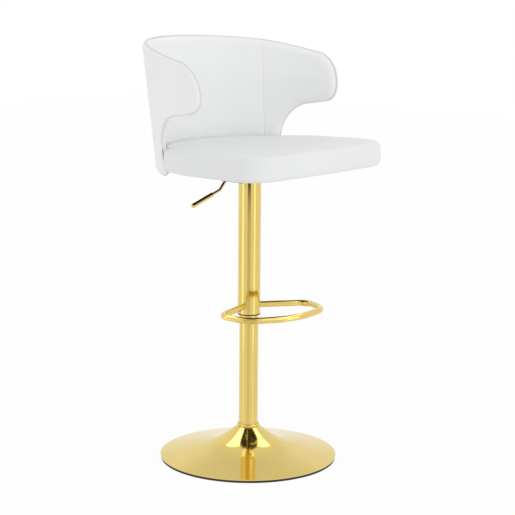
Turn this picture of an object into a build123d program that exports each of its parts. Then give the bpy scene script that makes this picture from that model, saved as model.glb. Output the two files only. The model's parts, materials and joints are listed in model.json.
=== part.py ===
from build123d import *
from math import asin, cos, degrees, hypot, radians, sin, sqrt
import os

os.makedirs("parts", exist_ok=True)

# A swivel bar stool with a gas lift, a footrest loop and a wrap-around back.
# Millimetres. Origin on the floor under the column, +Z up, the seat faces -Y,
# and the seat is drawn at the top of its lift.

# Base
BASE_DIAMETER = 450.0
RING_HEIGHT = 6.0
RING_WIDTH = 11.0
RING_SETBACK = 1.2
RIM_THICKNESS = 2.4
DISH_WALL = 2.0
KNEE_RADIUS = 88.0
KNEE_HEIGHT = 38.0
KNEE_ROUND = 200.0
NECK_RADIUS = 27.0
NECK_HEIGHT = 82.0
HUB_DIAMETER = 62.0
HUB_HEIGHT = 56.0
WEIGHT_DIAMETER = 380.0
WEIGHT_THICKNESS = 4.0
FLOOR_GAP = 4.5

# Column
COLUMN_DIAMETER = 48.3
COLUMN_WALL = 2.0
COLUMN_BOTTOM = 9.0
FOOT_THICKNESS = 8.0
TRIM_DIAMETER = 58.0
TRIM_HEIGHT = 6.0
TRIM_ROUND = 1.5
GUIDE_LENGTH = 60.0
GUIDE_FLANGE = 3.0

# Swivel bearing under the gas rod
RACE_DIAMETER = 26.0
RACE_THICKNESS = 2.0
BALL_DIAMETER = 3.9
BALL_COUNT = 10
BALL_CIRCLE_DIAMETER = 18.0
CAGE_THICKNESS = 1.4
CAGE_WIDTH = 5.6
BALL_ROOM = 0.1

# Gas spring
LIFT_TRAVEL = 215.0
ROD_DIAMETER = 10.0
ROD_TIP_DIAMETER = 8.0
ROD_TIP_LENGTH = 24.0
COLLAR_DIAMETER = 16.0
COLLAR_HEIGHT = 6.0
CLIP_DIAMETER = 17.0
CLIP_THICKNESS = 1.2
CLIP_MOUTH = 5.0
CLIP_WASHER_DIAMETER = 20.0
CLIP_WASHER_THICKNESS = 1.6
CYLINDER_DIAMETER = 28.0
CYLINDER_WALL = 1.4
CYLINDER_END_ROOM = 54.0
CYLINDER_STAND = 3.5
VALVE_BODY_LENGTH = 84.0
TAPER_LENGTH = 52.0
TAPER_TOP_DIAMETER = 26.2
ROD_GUIDE_INSET = 3.0
ROD_GUIDE_LENGTH = 22.0
PISTON_LENGTH = 16.0
PISTON_GAP = 1.0
PISTON_NUT_FLATS = 13.0
PISTON_NUT_HEIGHT = 6.0
BUTTON_DIAMETER = 8.0
BUTTON_LENGTH = 39.5
BUTTON_ROOM = 8.0

# Cover tube and footrest
COVER_DIAMETER = 57.0
COVER_WALL = 1.5
COVER_BOTTOM = 377.0
COVER_TOP_GAP = 2.0
COVER_BUSH_LENGTH = 24.0
COVER_LIP_HEIGHT = 3.0
COVER_LIP_PROUD = 0.4
COVER_COLLAR_HEIGHT = 16.0
FOOTREST_BAR = 16.0
FOOTREST_HEIGHT = 398.0
FOOTREST_REACH = 183.0
FOOTREST_TURN = -12.0
FOOTREST_FRONT_WIDTH = 60.0
FOOTREST_CORNER_WIDTH = 240.0
FOOTREST_CORNER_REACH = 152.0
FOOTREST_SIDE_WIDTH = 276.0
FOOTREST_SIDE_REACH = 66.0
FOOTREST_ROOT_WIDTH = 20.0
FOOTREST_ROOT_REACH = 4.0
FOOTREST_SIDE_BEND = 36.0
FOOTREST_CORNER_BEND = 60.0
FOOTREST_FRONT_BEND = 120.0

# Plate under the seat
UNDERSIDE_HEIGHT = 752.0
CLOTH_THICKNESS = 1.0
PLATE_LENGTH = 220.0
PLATE_WIDTH = 200.0
PLATE_THICKNESS = 3.0
PLATE_CORNER = 12.0
CHANNEL_LENGTH = 140.0
CHANNEL_WIDTH = 70.0
CHANNEL_HEIGHT = 30.0
CHANNEL_WALL = 2.5
SOCKET_DIAMETER = 40.0
SOCKET_LENGTH = 44.5
SOCKET_TRAVEL_ROOM = 13.0
BOLT_SPACING_X = 160.0
BOLT_SPACING_Y = 140.0
BOLT_DIAMETER = 8.0
BOLT_HEAD_FLATS = 13.0
BOLT_HEAD_HEIGHT = 5.3
WASHER_DIAMETER = 16.0
WASHER_THICKNESS = 1.6
TEE_FLANGE_DIAMETER = 22.0
TEE_FLANGE_THICKNESS = 1.2
TEE_BARREL_DIAMETER = 10.0
TEE_BARREL_LENGTH = 8.0

# Lift lever
LEVER_ROD = 7.0
LEVER_BEHIND_AXIS = 1.0
LEVER_DROP = 12.0
LEVER_PIVOT_REACH = 38.0
LEVER_BOSS_DIAMETER = 14.0
LEVER_BOSS_LENGTH = 20.0
LEVER_PIN_DIAMETER = 5.0
LEVER_GAP = 0.5
LEVER_STRAIGHT_REACH = 80.0
LEVER_ELBOW_REACH = 112.0
LEVER_ELBOW_DROP = 33.0
LEVER_TIP_REACH = 213.0
LEVER_TIP_DROP = 63.0
LEVER_BEND = 11.0
GRIP_DIAMETER = 10.6
GRIP_LENGTH = 76.0
GRIP_END_WALL = 4.0
GRIP_ROUND = 3.0

# Seat
SEAT_WIDTH = 528.0
SEAT_FRONT = 244.0
SEAT_FRONT_BOW = 5.0
SEAT_CORNER = 68.0
SEAT_SIDE_DEPTH = 250.0
SEAT_REAR_SIDE_INSET = 25.5
SEAT_REAR_INSET = 21.0
NOTCH_GAP = 2.5
BOARD_THICKNESS = 12.0
BOARD_SHARE = 0.935
CLOTH_SHARE = 0.915
POCKET_ROOM = 0.4

# Seat cushion: height above the underside and share of the full plan
CUSHION_SECTIONS = (
    (0.0, 0.955),
    (5.0, 0.984),
    (11.0, 0.998),
    (28.0, 0.994),
    (45.0, 0.998),
    (51.0, 0.988),
    (56.0, 0.966),
    (60.0, 0.920),
    (63.0, 0.800),
    (65.0, 0.600),
)

# Wrap-around back: an oval that flares upwards, cut to a winged outline whose heights
# are counted from the seat's underside
OVAL_CENTRE = -30.0
OVAL_HALF_WIDTH = 256.0
OVAL_HALF_DEPTH = 258.0
OVAL_DATUM_RISE = 13.0
SIDE_FLARE = 0.06
BACK_FLARE = 0.155
OVAL_FRONT_ANGLE = -14.0
OVAL_JOIN_ANGLE = 40.0
REAR_ANGLE = 90.0
BAND_MARGIN = 20.0
BACK_BOTTOM_RISE = -6.0
BACK_BOTTOM_ROUND = 10.0
BACK_EDGE_LOW = 93.0
BACK_EDGE_HIGH = 105.0
WING_BOTTOM_BACK_RISE = 132.0
WING_BOTTOM_FRONT_RISE = 157.0
WING_TIP = -68.5
WING_TOP_RISE = 256.0
BROW_PLACE = 150.0
BROW_TOP_RISE = 296.5
BACK_TOP_RISE = 314.0
BACK_FAR = 330.0
ARMPIT_ROUND = 86.0
WING_LOWER_ROUND = 36.0
WING_UPPER_ROUND = 78.0
BROW_ROUND = 300.0
OUTER_COVER = 4.0
PLY_THICKNESS = 9.0
LAYER_GAP = 0.2
PAD_BOTTOM_RISE = 40.0
PAD_CROWN_RISE = 153.0
PAD_LOWER_THICKNESS = 9.0
PAD_CROWN_THICKNESS = 15.0
PAD_UPPER_THICKNESS = 6.0
PIPING_WIDTH = 4.0
PIPING_PROUD = 1.5
PIPING_DEPTH = 8.0
PIPING_GAP = 0.1

# Brackets that join the back to the seat board
BRACKET_SPREAD = 48.0
BRACKET_WIDTH = 36.0
BRACKET_THICKNESS = 4.0
BRACKET_FOOT_LENGTH = 63.0
BRACKET_HEIGHT = 38.0
BRACKET_GAP = 0.8
FOOT_SCREW_INSETS = (51.0, 33.0)
LEG_SCREW_RISES = (15.0, 28.0)
SCREW_DIAMETER = 4.0
SCREW_HEAD_DIAMETER = 8.0
SCREW_HEAD_HEIGHT = 2.2
SCREW_BITE = 8.0

# Fits
WELD_GAP = 0.05
PRESS_GAP = 0.05
RUNNING_GAP = 0.05
SLIDING_GAP = 0.1
COVER_GAP = 0.25

# Heights and radii that follow from the sizes above
base_radius = BASE_DIAMETER / 2
land_radius = base_radius - RING_SETBACK - RING_WIDTH
rim_top = RING_HEIGHT + RIM_THICKNESS
column_radius = COLUMN_DIAMETER / 2
column_bore = column_radius - COLUMN_WALL
foot_top = COLUMN_BOTTOM + FOOT_THICKNESS
lower_race_top = foot_top + RACE_THICKNESS
ball_centre = lower_race_top + (BALL_DIAMETER + BALL_ROOM) / 2
upper_race_bottom = lower_race_top + BALL_DIAMETER + BALL_ROOM
upper_race_top = upper_race_bottom + RACE_THICKNESS
rod_radius = ROD_DIAMETER / 2
tip_radius = ROD_TIP_DIAMETER / 2
collar_top = upper_race_top + COLLAR_HEIGHT
clip_washer_top = COLUMN_BOTTOM - RUNNING_GAP
clip_top = clip_washer_top - CLIP_WASHER_THICKNESS - RUNNING_GAP
clip_bottom = clip_top - CLIP_THICKNESS

plate_top = UNDERSIDE_HEIGHT - CLOTH_THICKNESS
plate_bottom = plate_top - PLATE_THICKNESS
channel_bottom = plate_bottom - CHANNEL_HEIGHT
web_top = channel_bottom + CHANNEL_WALL
socket_bottom = web_top - SOCKET_LENGTH
cylinder_top = web_top + CYLINDER_STAND
cylinder_bottom = collar_top + LIFT_TRAVEL + CYLINDER_END_ROOM
cylinder_radius = CYLINDER_DIAMETER / 2
cylinder_bore = cylinder_radius - CYLINDER_WALL
rod_guide_bottom = cylinder_bottom + ROD_GUIDE_INSET
rod_guide_top = rod_guide_bottom + ROD_GUIDE_LENGTH
piston_bottom = rod_guide_top + PISTON_GAP
piston_top = piston_bottom + PISTON_LENGTH
column_top = socket_bottom - LIFT_TRAVEL - SOCKET_TRAVEL_ROOM

cover_radius = COVER_DIAMETER / 2
cover_bore = cover_radius - COVER_WALL
cover_top = channel_bottom - COVER_TOP_GAP
lever_height = plate_bottom - LEVER_DROP
lever_radius = LEVER_ROD / 2
button_top = lever_height - lever_radius - LEVER_GAP
button_bottom = button_top - BUTTON_LENGTH
board_top = UNDERSIDE_HEIGHT + BOARD_THICKNESS
oval_datum = UNDERSIDE_HEIGHT + OVAL_DATUM_RISE
back_bottom = UNDERSIDE_HEIGHT + BACK_BOTTOM_RISE
wing_bottom_back = UNDERSIDE_HEIGHT + WING_BOTTOM_BACK_RISE
wing_bottom_front = UNDERSIDE_HEIGHT + WING_BOTTOM_FRONT_RISE
wing_top = UNDERSIDE_HEIGHT + WING_TOP_RISE
brow_top = UNDERSIDE_HEIGHT + BROW_TOP_RISE
back_top = UNDERSIDE_HEIGHT + BACK_TOP_RISE
pad_bottom = UNDERSIDE_HEIGHT + PAD_BOTTOM_RISE
pad_crown = UNDERSIDE_HEIGHT + PAD_CROWN_RISE
band_bottom = back_bottom - BAND_MARGIN
band_top = back_top + BAND_MARGIN
ply_outer = OUTER_COVER + LAYER_GAP
ply_inner = ply_outer + PLY_THICKNESS
pad_outer = ply_inner + LAYER_GAP
bracket_angles = (REAR_ANGLE - BRACKET_SPREAD, REAR_ANGLE, REAR_ANGLE + BRACKET_SPREAD)


def ring(bottom, top, inner_radius, outer_radius):
    """A plain ring about the column's axis, as a part of its own."""
    with BuildPart() as turned:
        with BuildSketch(Plane.XY.offset(bottom)):
            Circle(outer_radius)
            Circle(inner_radius, mode=Mode.SUBTRACT)
        extrude(amount=top - bottom)
    return turned.part


def save(part, name):
    """Label a finished piece and write it."""
    part.label = name
    export_step(part, f"parts/{name}.step")


def oval_point(half_width, half_depth, angle):
    """A point on an oval of the back, at an angle from the sitter's left."""
    turn = radians(angle)
    return (half_width * cos(turn), OVAL_CENTRE + half_depth * sin(turn))


def oval_arc(half_width, half_depth, start, end):
    """An arc of an oval through its start, middle and end."""
    angles = (start, (start + end) / 2, end)
    return ThreePointArc(*[oval_point(half_width, half_depth, angle) for angle in angles])


def oval_size(height, inset):
    """Half width and half depth of the back at a height, measured in from its outside."""
    rise = height - oval_datum
    half_width = OVAL_HALF_WIDTH + SIDE_FLARE * rise - inset
    half_depth = OVAL_HALF_DEPTH + BACK_FLARE * rise - inset
    return half_width, half_depth


def oval_reach(height, inset, angle, aside):
    """Distance to the oval's wall along a line at an angle, set aside from the oval's centre."""
    half_width, half_depth = oval_size(height, inset)
    turn = radians(angle)
    along = (cos(turn) / half_width, sin(turn) / half_depth)
    across = (-aside * sin(turn) / half_width, aside * cos(turn) / half_depth)
    square = along[0] ** 2 + along[1] ** 2
    half_mixed = along[0] * across[0] + along[1] * across[1]
    rest = across[0] ** 2 + across[1] ** 2 - 1
    return (sqrt(half_mixed**2 - square * rest) - half_mixed) / square


def band_section(height, outer_inset, inner_inset):
    """Plan of one layer of the back at a height: a horseshoe open to the front."""
    outer = oval_size(height, outer_inset)
    inner = oval_size(height, inner_inset)
    start = OVAL_FRONT_ANGLE
    end = 2 * REAR_ANGLE - OVAL_FRONT_ANGLE
    stops = (start, REAR_ANGLE - OVAL_JOIN_ANGLE, REAR_ANGLE + OVAL_JOIN_ANGLE, end)
    with BuildSketch(Plane.XY.offset(height)) as section:
        with BuildLine():
            for before, after in zip(stops, stops[1:]):
                oval_arc(*outer, before, after)
            Line(oval_point(*outer, end), oval_point(*inner, end))
            for before, after in zip(stops[::-1], stops[-2::-1]):
                oval_arc(*inner, before, after)
            Line(oval_point(*inner, start), oval_point(*outer, start))
        make_face()
    return section.sketch


def back_outline(grow):
    """Side view of the back with its two wings, grown all round."""
    corners = (
        (BACK_EDGE_LOW, back_bottom),
        (BACK_EDGE_HIGH, wing_bottom_back),
        (WING_TIP, wing_bottom_front),
        (WING_TIP, wing_top),
        (BROW_PLACE, brow_top),
        (BACK_FAR, back_top),
        (BACK_FAR, back_bottom),
    )
    rounds = (
        BACK_BOTTOM_ROUND,
        ARMPIT_ROUND,
        WING_LOWER_ROUND,
        WING_UPPER_ROUND,
        BROW_ROUND,
        0,
        0,
    )
    with BuildSketch(Plane.YZ) as outline:
        with BuildLine():
            FilletPolyline(*corners, radius=rounds, close=True)
        make_face()
        if grow:
            offset(amount=grow)
    return outline.sketch


def seat_section(height, share):
    """Plan of the seat at a height, drawn in towards its centre by a share."""
    half_width = SEAT_WIDTH / 2
    notch_place = min(BACK_EDGE_LOW, BACK_EDGE_HIGH) - PIPING_WIDTH - NOTCH_GAP
    notch_angle = degrees(asin((notch_place - OVAL_CENTRE) / SEAT_SIDE_DEPTH))
    outside = oval_size(back_bottom, 0)
    inner = (outside[0] - SEAT_REAR_SIDE_INSET, outside[1] - SEAT_REAR_INSET)
    corner_centre = (half_width - SEAT_CORNER, SEAT_CORNER - SEAT_FRONT)
    corner_middle = SEAT_CORNER * sin(radians(45))
    front = (corner_centre[0], -SEAT_FRONT)
    corner = (corner_centre[0] + corner_middle, corner_centre[1] - corner_middle)
    side_front = (half_width, corner_centre[1])
    side_back = (half_width, OVAL_CENTRE)
    side_middle = oval_point(half_width, SEAT_SIDE_DEPTH, notch_angle / 2)
    notch_outer = oval_point(half_width, SEAT_SIDE_DEPTH, notch_angle)
    notch_inner = oval_point(*inner, notch_angle)
    rear_middle = oval_point(*inner, (notch_angle + REAR_ANGLE) / 2)
    rear = oval_point(*inner, REAR_ANGLE)

    def placed(point, side=1):
        return (side * point[0] * share, OVAL_CENTRE + (point[1] - OVAL_CENTRE) * share)

    with BuildSketch(Plane.XY.offset(height)) as section:
        with BuildLine():
            ThreePointArc(placed(front, -1), placed((0, -SEAT_FRONT - SEAT_FRONT_BOW)), placed(front))
            ThreePointArc(placed(front), placed(corner), placed(side_front))
            Line(placed(side_front), placed(side_back))
            ThreePointArc(placed(side_back), placed(side_middle), placed(notch_outer))
            Line(placed(notch_outer), placed(notch_inner))
            ThreePointArc(placed(notch_inner), placed(rear_middle), placed(rear))
            ThreePointArc(placed(rear), placed(rear_middle, -1), placed(notch_inner, -1))
            Line(placed(notch_inner, -1), placed(notch_outer, -1))
            ThreePointArc(placed(notch_outer, -1), placed(side_middle, -1), placed(side_back, -1))
            Line(placed(side_back, -1), placed(side_front, -1))
            ThreePointArc(placed(side_front, -1), placed(corner, -1), placed(front, -1))
        make_face()
    return section.sketch


def radial_plane(angle, radius, height):
    """A plane whose normal points outwards from the oval's centre."""
    turn = radians(angle)
    outwards = (cos(turn), sin(turn), 0)
    place = (radius * outwards[0], OVAL_CENTRE + radius * outwards[1], height)
    return Plane(origin=place, x_dir=(0, 0, 1), z_dir=outwards)


def bracket_wall(angle, height):
    """Outer face of a bracket's leg: its nearer edge just inside the plywood, leaning with its flare."""
    edges = (-BRACKET_WIDTH / 2, BRACKET_WIDTH / 2)
    return min(oval_reach(height, ply_inner, angle, edge) for edge in edges) - BRACKET_GAP


def bracket_inset(angle, inset):
    """Distance from the oval's centre to a place on a bracket's foot, measured in from its leg."""
    return bracket_wall(angle, plate_top) - inset


foot_screw_places = [
    oval_point(bracket_inset(angle, inset), bracket_inset(angle, inset), angle)
    for angle in bracket_angles
    for inset in FOOT_SCREW_INSETS
]
leg_screw_places = [(angle, plate_top + rise) for angle in bracket_angles for rise in LEG_SCREW_RISES]

# Base dish: a thin spun trumpet with a flat land under its rim
dish_slope = (KNEE_HEIGHT - rim_top) / (base_radius - KNEE_RADIUS)
land_top = rim_top - DISH_WALL + (base_radius - land_radius) * dish_slope
with BuildPart() as base_dish:
    with BuildSketch(Plane.XZ):
        with BuildLine():
            FilletPolyline(
                (NECK_RADIUS, NECK_HEIGHT),
                (KNEE_RADIUS, KNEE_HEIGHT),
                (base_radius, rim_top),
                radius=KNEE_ROUND,
            )
            Polyline(
                (base_radius, rim_top),
                (base_radius, RING_HEIGHT),
                (land_radius, RING_HEIGHT),
                (land_radius, land_top),
            )
            FilletPolyline(
                (land_radius, land_top),
                (KNEE_RADIUS, KNEE_HEIGHT - DISH_WALL),
                (NECK_RADIUS, NECK_HEIGHT - DISH_WALL),
                radius=KNEE_ROUND,
            )
            Line((NECK_RADIUS, NECK_HEIGHT - DISH_WALL), (NECK_RADIUS, NECK_HEIGHT))
        make_face()
    revolve(axis=Axis.Z)
save(base_dish.part, "base_dish")

# Rubber ring that the base stands on
save(ring(0, RING_HEIGHT, land_radius, land_radius + RING_WIDTH), "base_edge_ring")

# Steel hub and weight plate hidden under the dish
hub_radius = HUB_DIAMETER / 2
save(ring(FLOOR_GAP, FLOOR_GAP + HUB_HEIGHT, column_radius + WELD_GAP, hub_radius), "base_hub")
weight_top = FLOOR_GAP + WEIGHT_THICKNESS
save(ring(FLOOR_GAP, weight_top, hub_radius + WELD_GAP, WEIGHT_DIAMETER / 2), "base_weight_plate")

# Column tube with its foot plug, guide bush and trim ring
save(ring(COLUMN_BOTTOM, column_top, column_bore, column_radius), "column_tube")
save(
    ring(COLUMN_BOTTOM, foot_top, rod_radius + RUNNING_GAP, column_bore - WELD_GAP),
    "column_foot",
)

with BuildPart() as column_trim_ring:
    with BuildSketch(Plane.XY.offset(NECK_HEIGHT)):
        Circle(TRIM_DIAMETER / 2)
        Circle(column_radius + PRESS_GAP, mode=Mode.SUBTRACT)
    extrude(amount=TRIM_HEIGHT)
    trim_edges = column_trim_ring.edges().filter_by(GeomType.CIRCLE).group_by(SortBy.RADIUS)[-1]
    fillet(trim_edges, radius=TRIM_ROUND)
save(column_trim_ring.part, "column_trim_ring")

with BuildPart() as column_guide_bush:
    with BuildSketch(Plane.XY.offset(column_top - GUIDE_LENGTH)):
        Circle(column_bore - PRESS_GAP)
    extrude(amount=GUIDE_LENGTH)
    with BuildSketch(Plane.XY.offset(column_top)):
        Circle(column_radius)
    extrude(amount=GUIDE_FLANGE)
    with BuildSketch(Plane.XY.offset(column_top - GUIDE_LENGTH)):
        Circle(cylinder_radius + SLIDING_GAP)
    extrude(amount=GUIDE_LENGTH + GUIDE_FLANGE, mode=Mode.SUBTRACT)
save(column_guide_bush.part, "column_guide_bush")

# Thrust bearing that the gas rod turns on
race_bore = rod_radius + SLIDING_GAP
race_radius = RACE_DIAMETER / 2
save(ring(foot_top, lower_race_top, race_bore, race_radius), "bearing_lower_race")
save(ring(upper_race_bottom, upper_race_top, race_bore, race_radius), "bearing_upper_race")

ball_circle = BALL_CIRCLE_DIAMETER / 2
ball_radius = BALL_DIAMETER / 2
with BuildPart(Plane.XY.offset(ball_centre)) as bearing_balls:
    with PolarLocations(ball_circle, BALL_COUNT):
        Sphere(ball_radius)
save(bearing_balls.part, "bearing_balls")

with BuildPart() as bearing_cage:
    with BuildSketch(Plane.XY.offset(ball_centre - CAGE_THICKNESS / 2)):
        Circle(ball_circle + CAGE_WIDTH / 2)
        Circle(ball_circle - CAGE_WIDTH / 2, mode=Mode.SUBTRACT)
        with PolarLocations(ball_circle, BALL_COUNT):
            Circle(ball_radius + BALL_ROOM, mode=Mode.SUBTRACT)
    extrude(amount=CAGE_THICKNESS)
save(bearing_cage.part, "bearing_cage")

# Gas rod with its collar, clip groove and reduced tip
rod_tip_top = piston_bottom + ROD_TIP_LENGTH
with BuildPart() as gas_rod:
    with BuildSketch(Plane.XZ):
        with BuildLine():
            Polyline(
                (0, FLOOR_GAP),
                (rod_radius, FLOOR_GAP),
                (rod_radius, clip_bottom - RUNNING_GAP),
                (tip_radius, clip_bottom - RUNNING_GAP),
                (tip_radius, clip_top + RUNNING_GAP),
                (rod_radius, clip_top + RUNNING_GAP),
                (rod_radius, upper_race_top),
                (COLLAR_DIAMETER / 2, upper_race_top),
                (COLLAR_DIAMETER / 2, collar_top),
                (rod_radius, collar_top),
                (rod_radius, piston_bottom),
                (tip_radius, piston_bottom),
                (tip_radius, rod_tip_top),
                (0, rod_tip_top),
                close=True,
            )
        make_face()
    revolve(axis=Axis.Z)
save(gas_rod.part, "gas_rod")

with BuildPart() as rod_clip:
    with BuildSketch(Plane.XY.offset(clip_bottom)):
        Circle(CLIP_DIAMETER / 2)
        Circle(tip_radius + PRESS_GAP, mode=Mode.SUBTRACT)
        with Locations((CLIP_DIAMETER / 2, 0)):
            Rectangle(CLIP_DIAMETER, CLIP_MOUTH, mode=Mode.SUBTRACT)
    extrude(amount=CLIP_THICKNESS)
save(rod_clip.part, "rod_clip")

clip_washer_bottom = clip_washer_top - CLIP_WASHER_THICKNESS
save(
    ring(clip_washer_bottom, clip_washer_top, rod_radius + SLIDING_GAP, CLIP_WASHER_DIAMETER / 2),
    "rod_clip_washer",
)

# Piston and its nut on the rod's tip
save(
    ring(piston_bottom, piston_top, tip_radius + PRESS_GAP, cylinder_bore - SLIDING_GAP),
    "gas_piston",
)
with BuildPart() as piston_nut:
    with BuildSketch(Plane.XY.offset(piston_top)):
        RegularPolygon(PISTON_NUT_FLATS / 2, 6, major_radius=False)
        Circle(tip_radius + PRESS_GAP, mode=Mode.SUBTRACT)
    extrude(amount=PISTON_NUT_HEIGHT)
save(piston_nut.part, "piston_nut")

# Gas cylinder: a tube with a valve body and a tapered end at its top
taper_start = cylinder_top - TAPER_LENGTH
taper_top_radius = TAPER_TOP_DIAMETER / 2
valve_bottom = cylinder_top - VALVE_BODY_LENGTH
button_radius = BUTTON_DIAMETER / 2
with BuildPart() as gas_cylinder:
    with BuildSketch(Plane.XZ):
        with BuildLine():
            Polyline(
                (cylinder_bore, cylinder_bottom),
                (cylinder_radius, cylinder_bottom),
                (cylinder_radius, taper_start),
                (taper_top_radius, cylinder_top),
                (button_radius + RUNNING_GAP, cylinder_top),
                (button_radius + RUNNING_GAP, button_bottom - BUTTON_ROOM),
                (0, button_bottom - BUTTON_ROOM),
                (0, valve_bottom),
                (cylinder_bore, valve_bottom),
                close=True,
            )
        make_face()
    revolve(axis=Axis.Z)
save(gas_cylinder.part, "gas_cylinder")

save(
    ring(rod_guide_bottom, rod_guide_top, rod_radius + RUNNING_GAP, cylinder_bore - PRESS_GAP),
    "gas_rod_guide",
)

with BuildPart() as valve_button:
    with BuildSketch(Plane.XY.offset(button_bottom)):
        Circle(button_radius)
    extrude(amount=BUTTON_LENGTH)
save(valve_button.part, "valve_button")

# Cover tube, its bush at the lower end and the collar that hangs it from the socket
save(ring(COVER_BOTTOM, cover_top, cover_bore, cover_radius), "cover_tube")

with BuildPart() as cover_bush:
    with BuildSketch(Plane.XY.offset(COVER_BOTTOM)):
        Circle(cover_bore - PRESS_GAP)
    extrude(amount=COVER_BUSH_LENGTH)
    with BuildSketch(Plane.XY.offset(COVER_BOTTOM - COVER_LIP_HEIGHT)):
        Circle(cover_radius + COVER_LIP_PROUD)
    extrude(amount=COVER_LIP_HEIGHT)
    with BuildSketch(Plane.XY.offset(COVER_BOTTOM - COVER_LIP_HEIGHT)):
        Circle(column_radius + COVER_GAP)
    extrude(amount=COVER_LIP_HEIGHT + COVER_BUSH_LENGTH, mode=Mode.SUBTRACT)
save(cover_bush.part, "cover_bush")

socket_radius = SOCKET_DIAMETER / 2
save(
    ring(cover_top - COVER_COLLAR_HEIGHT, cover_top, socket_radius + WELD_GAP, cover_bore - WELD_GAP),
    "cover_collar",
)

# Tapered socket welded into the channel
taper_lean = (cylinder_radius - taper_top_radius) / TAPER_LENGTH
socket_bore_bottom = cylinder_radius - taper_lean * (socket_bottom - taper_start) + WELD_GAP
socket_bore_top = cylinder_radius - taper_lean * (web_top - taper_start) + WELD_GAP
with BuildPart() as taper_socket:
    with BuildSketch(Plane.XZ):
        with BuildLine():
            Polyline(
                (socket_bore_bottom, socket_bottom),
                (socket_radius, socket_bottom),
                (socket_radius, web_top),
                (socket_bore_top, web_top),
                close=True,
            )
        make_face()
    revolve(axis=Axis.Z)
save(taper_socket.part, "taper_socket")

# Footrest loop, welded to the cover tube and turned a little from the seat's front
footrest_plane = Plane.XY.offset(FOOTREST_HEIGHT).rotated((0, 0, FOOTREST_TURN))
footrest_half = (
    (FOOTREST_ROOT_WIDTH / 2, -FOOTREST_ROOT_REACH),
    (FOOTREST_SIDE_WIDTH / 2, -FOOTREST_SIDE_REACH),
    (FOOTREST_CORNER_WIDTH / 2, -FOOTREST_CORNER_REACH),
    (FOOTREST_FRONT_WIDTH / 2, -FOOTREST_REACH),
)
footrest_points = footrest_half + tuple((-across, along) for across, along in reversed(footrest_half))
footrest_bends = (FOOTREST_SIDE_BEND, FOOTREST_CORNER_BEND, FOOTREST_FRONT_BEND)
with BuildPart() as footrest_loop:
    with BuildLine(footrest_plane) as loop_path:
        FilletPolyline(*footrest_points, radius=footrest_bends + footrest_bends[::-1])
    loop_start = loop_path.wires()[0]
    with BuildSketch(Plane(origin=loop_start @ 0, z_dir=loop_start % 0)):
        Circle(FOOTREST_BAR / 2)
    sweep(path=loop_start)
    with Locations((0, 0, FOOTREST_HEIGHT)):
        Cylinder(cover_radius + WELD_GAP, COVER_DIAMETER, mode=Mode.SUBTRACT)
save(footrest_loop.part, "footrest_loop")

# Seat plate and the channel under it
with BuildPart() as seat_plate:
    with BuildSketch(Plane.XY.offset(plate_bottom)):
        RectangleRounded(PLATE_LENGTH, PLATE_WIDTH, PLATE_CORNER)
        with GridLocations(BOLT_SPACING_X, BOLT_SPACING_Y, 2, 2):
            Circle(BOLT_DIAMETER / 2 + SLIDING_GAP, mode=Mode.SUBTRACT)
    extrude(amount=PLATE_THICKNESS)
save(seat_plate.part, "seat_plate")

pin_radius = LEVER_PIN_DIAMETER / 2
with BuildPart() as plate_channel:
    with BuildSketch(Plane.YZ.offset(-CHANNEL_LENGTH / 2)):
        with Locations((0, channel_bottom + CHANNEL_HEIGHT / 2)):
            Rectangle(CHANNEL_WIDTH, CHANNEL_HEIGHT)
        with Locations((0, web_top + CHANNEL_HEIGHT / 2)):
            Rectangle(CHANNEL_WIDTH - 2 * CHANNEL_WALL, CHANNEL_HEIGHT, mode=Mode.SUBTRACT)
    extrude(amount=CHANNEL_LENGTH)
    with Locations((0, 0, channel_bottom)):
        Cylinder(socket_radius + WELD_GAP, CHANNEL_HEIGHT, mode=Mode.SUBTRACT)
    with Locations((-LEVER_PIVOT_REACH, 0, lever_height)):
        Cylinder(pin_radius + PRESS_GAP, 2 * CHANNEL_WIDTH, rotation=(90, 0, 0), mode=Mode.SUBTRACT)
save(plate_channel.part, "plate_channel")

# Bolts, washers and tee nuts between the plate and the seat board
washer_bottom = plate_bottom - WASHER_THICKNESS
bolt_head_bottom = washer_bottom - BOLT_HEAD_HEIGHT
with BuildPart() as plate_bolts:
    with BuildSketch(Plane.XY.offset(bolt_head_bottom)):
        with GridLocations(BOLT_SPACING_X, BOLT_SPACING_Y, 2, 2):
            RegularPolygon(BOLT_HEAD_FLATS / 2, 6, major_radius=False)
    extrude(amount=BOLT_HEAD_HEIGHT)
    with BuildSketch(Plane.XY.offset(washer_bottom)):
        with GridLocations(BOLT_SPACING_X, BOLT_SPACING_Y, 2, 2):
            Circle(BOLT_DIAMETER / 2)
    extrude(amount=board_top - washer_bottom)
save(plate_bolts.part, "plate_bolts")

with BuildPart() as plate_washers:
    with BuildSketch(Plane.XY.offset(washer_bottom)):
        with GridLocations(BOLT_SPACING_X, BOLT_SPACING_Y, 2, 2):
            Circle(WASHER_DIAMETER / 2)
            Circle(BOLT_DIAMETER / 2 + SLIDING_GAP, mode=Mode.SUBTRACT)
    extrude(amount=WASHER_THICKNESS)
save(plate_washers.part, "plate_washers")

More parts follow.
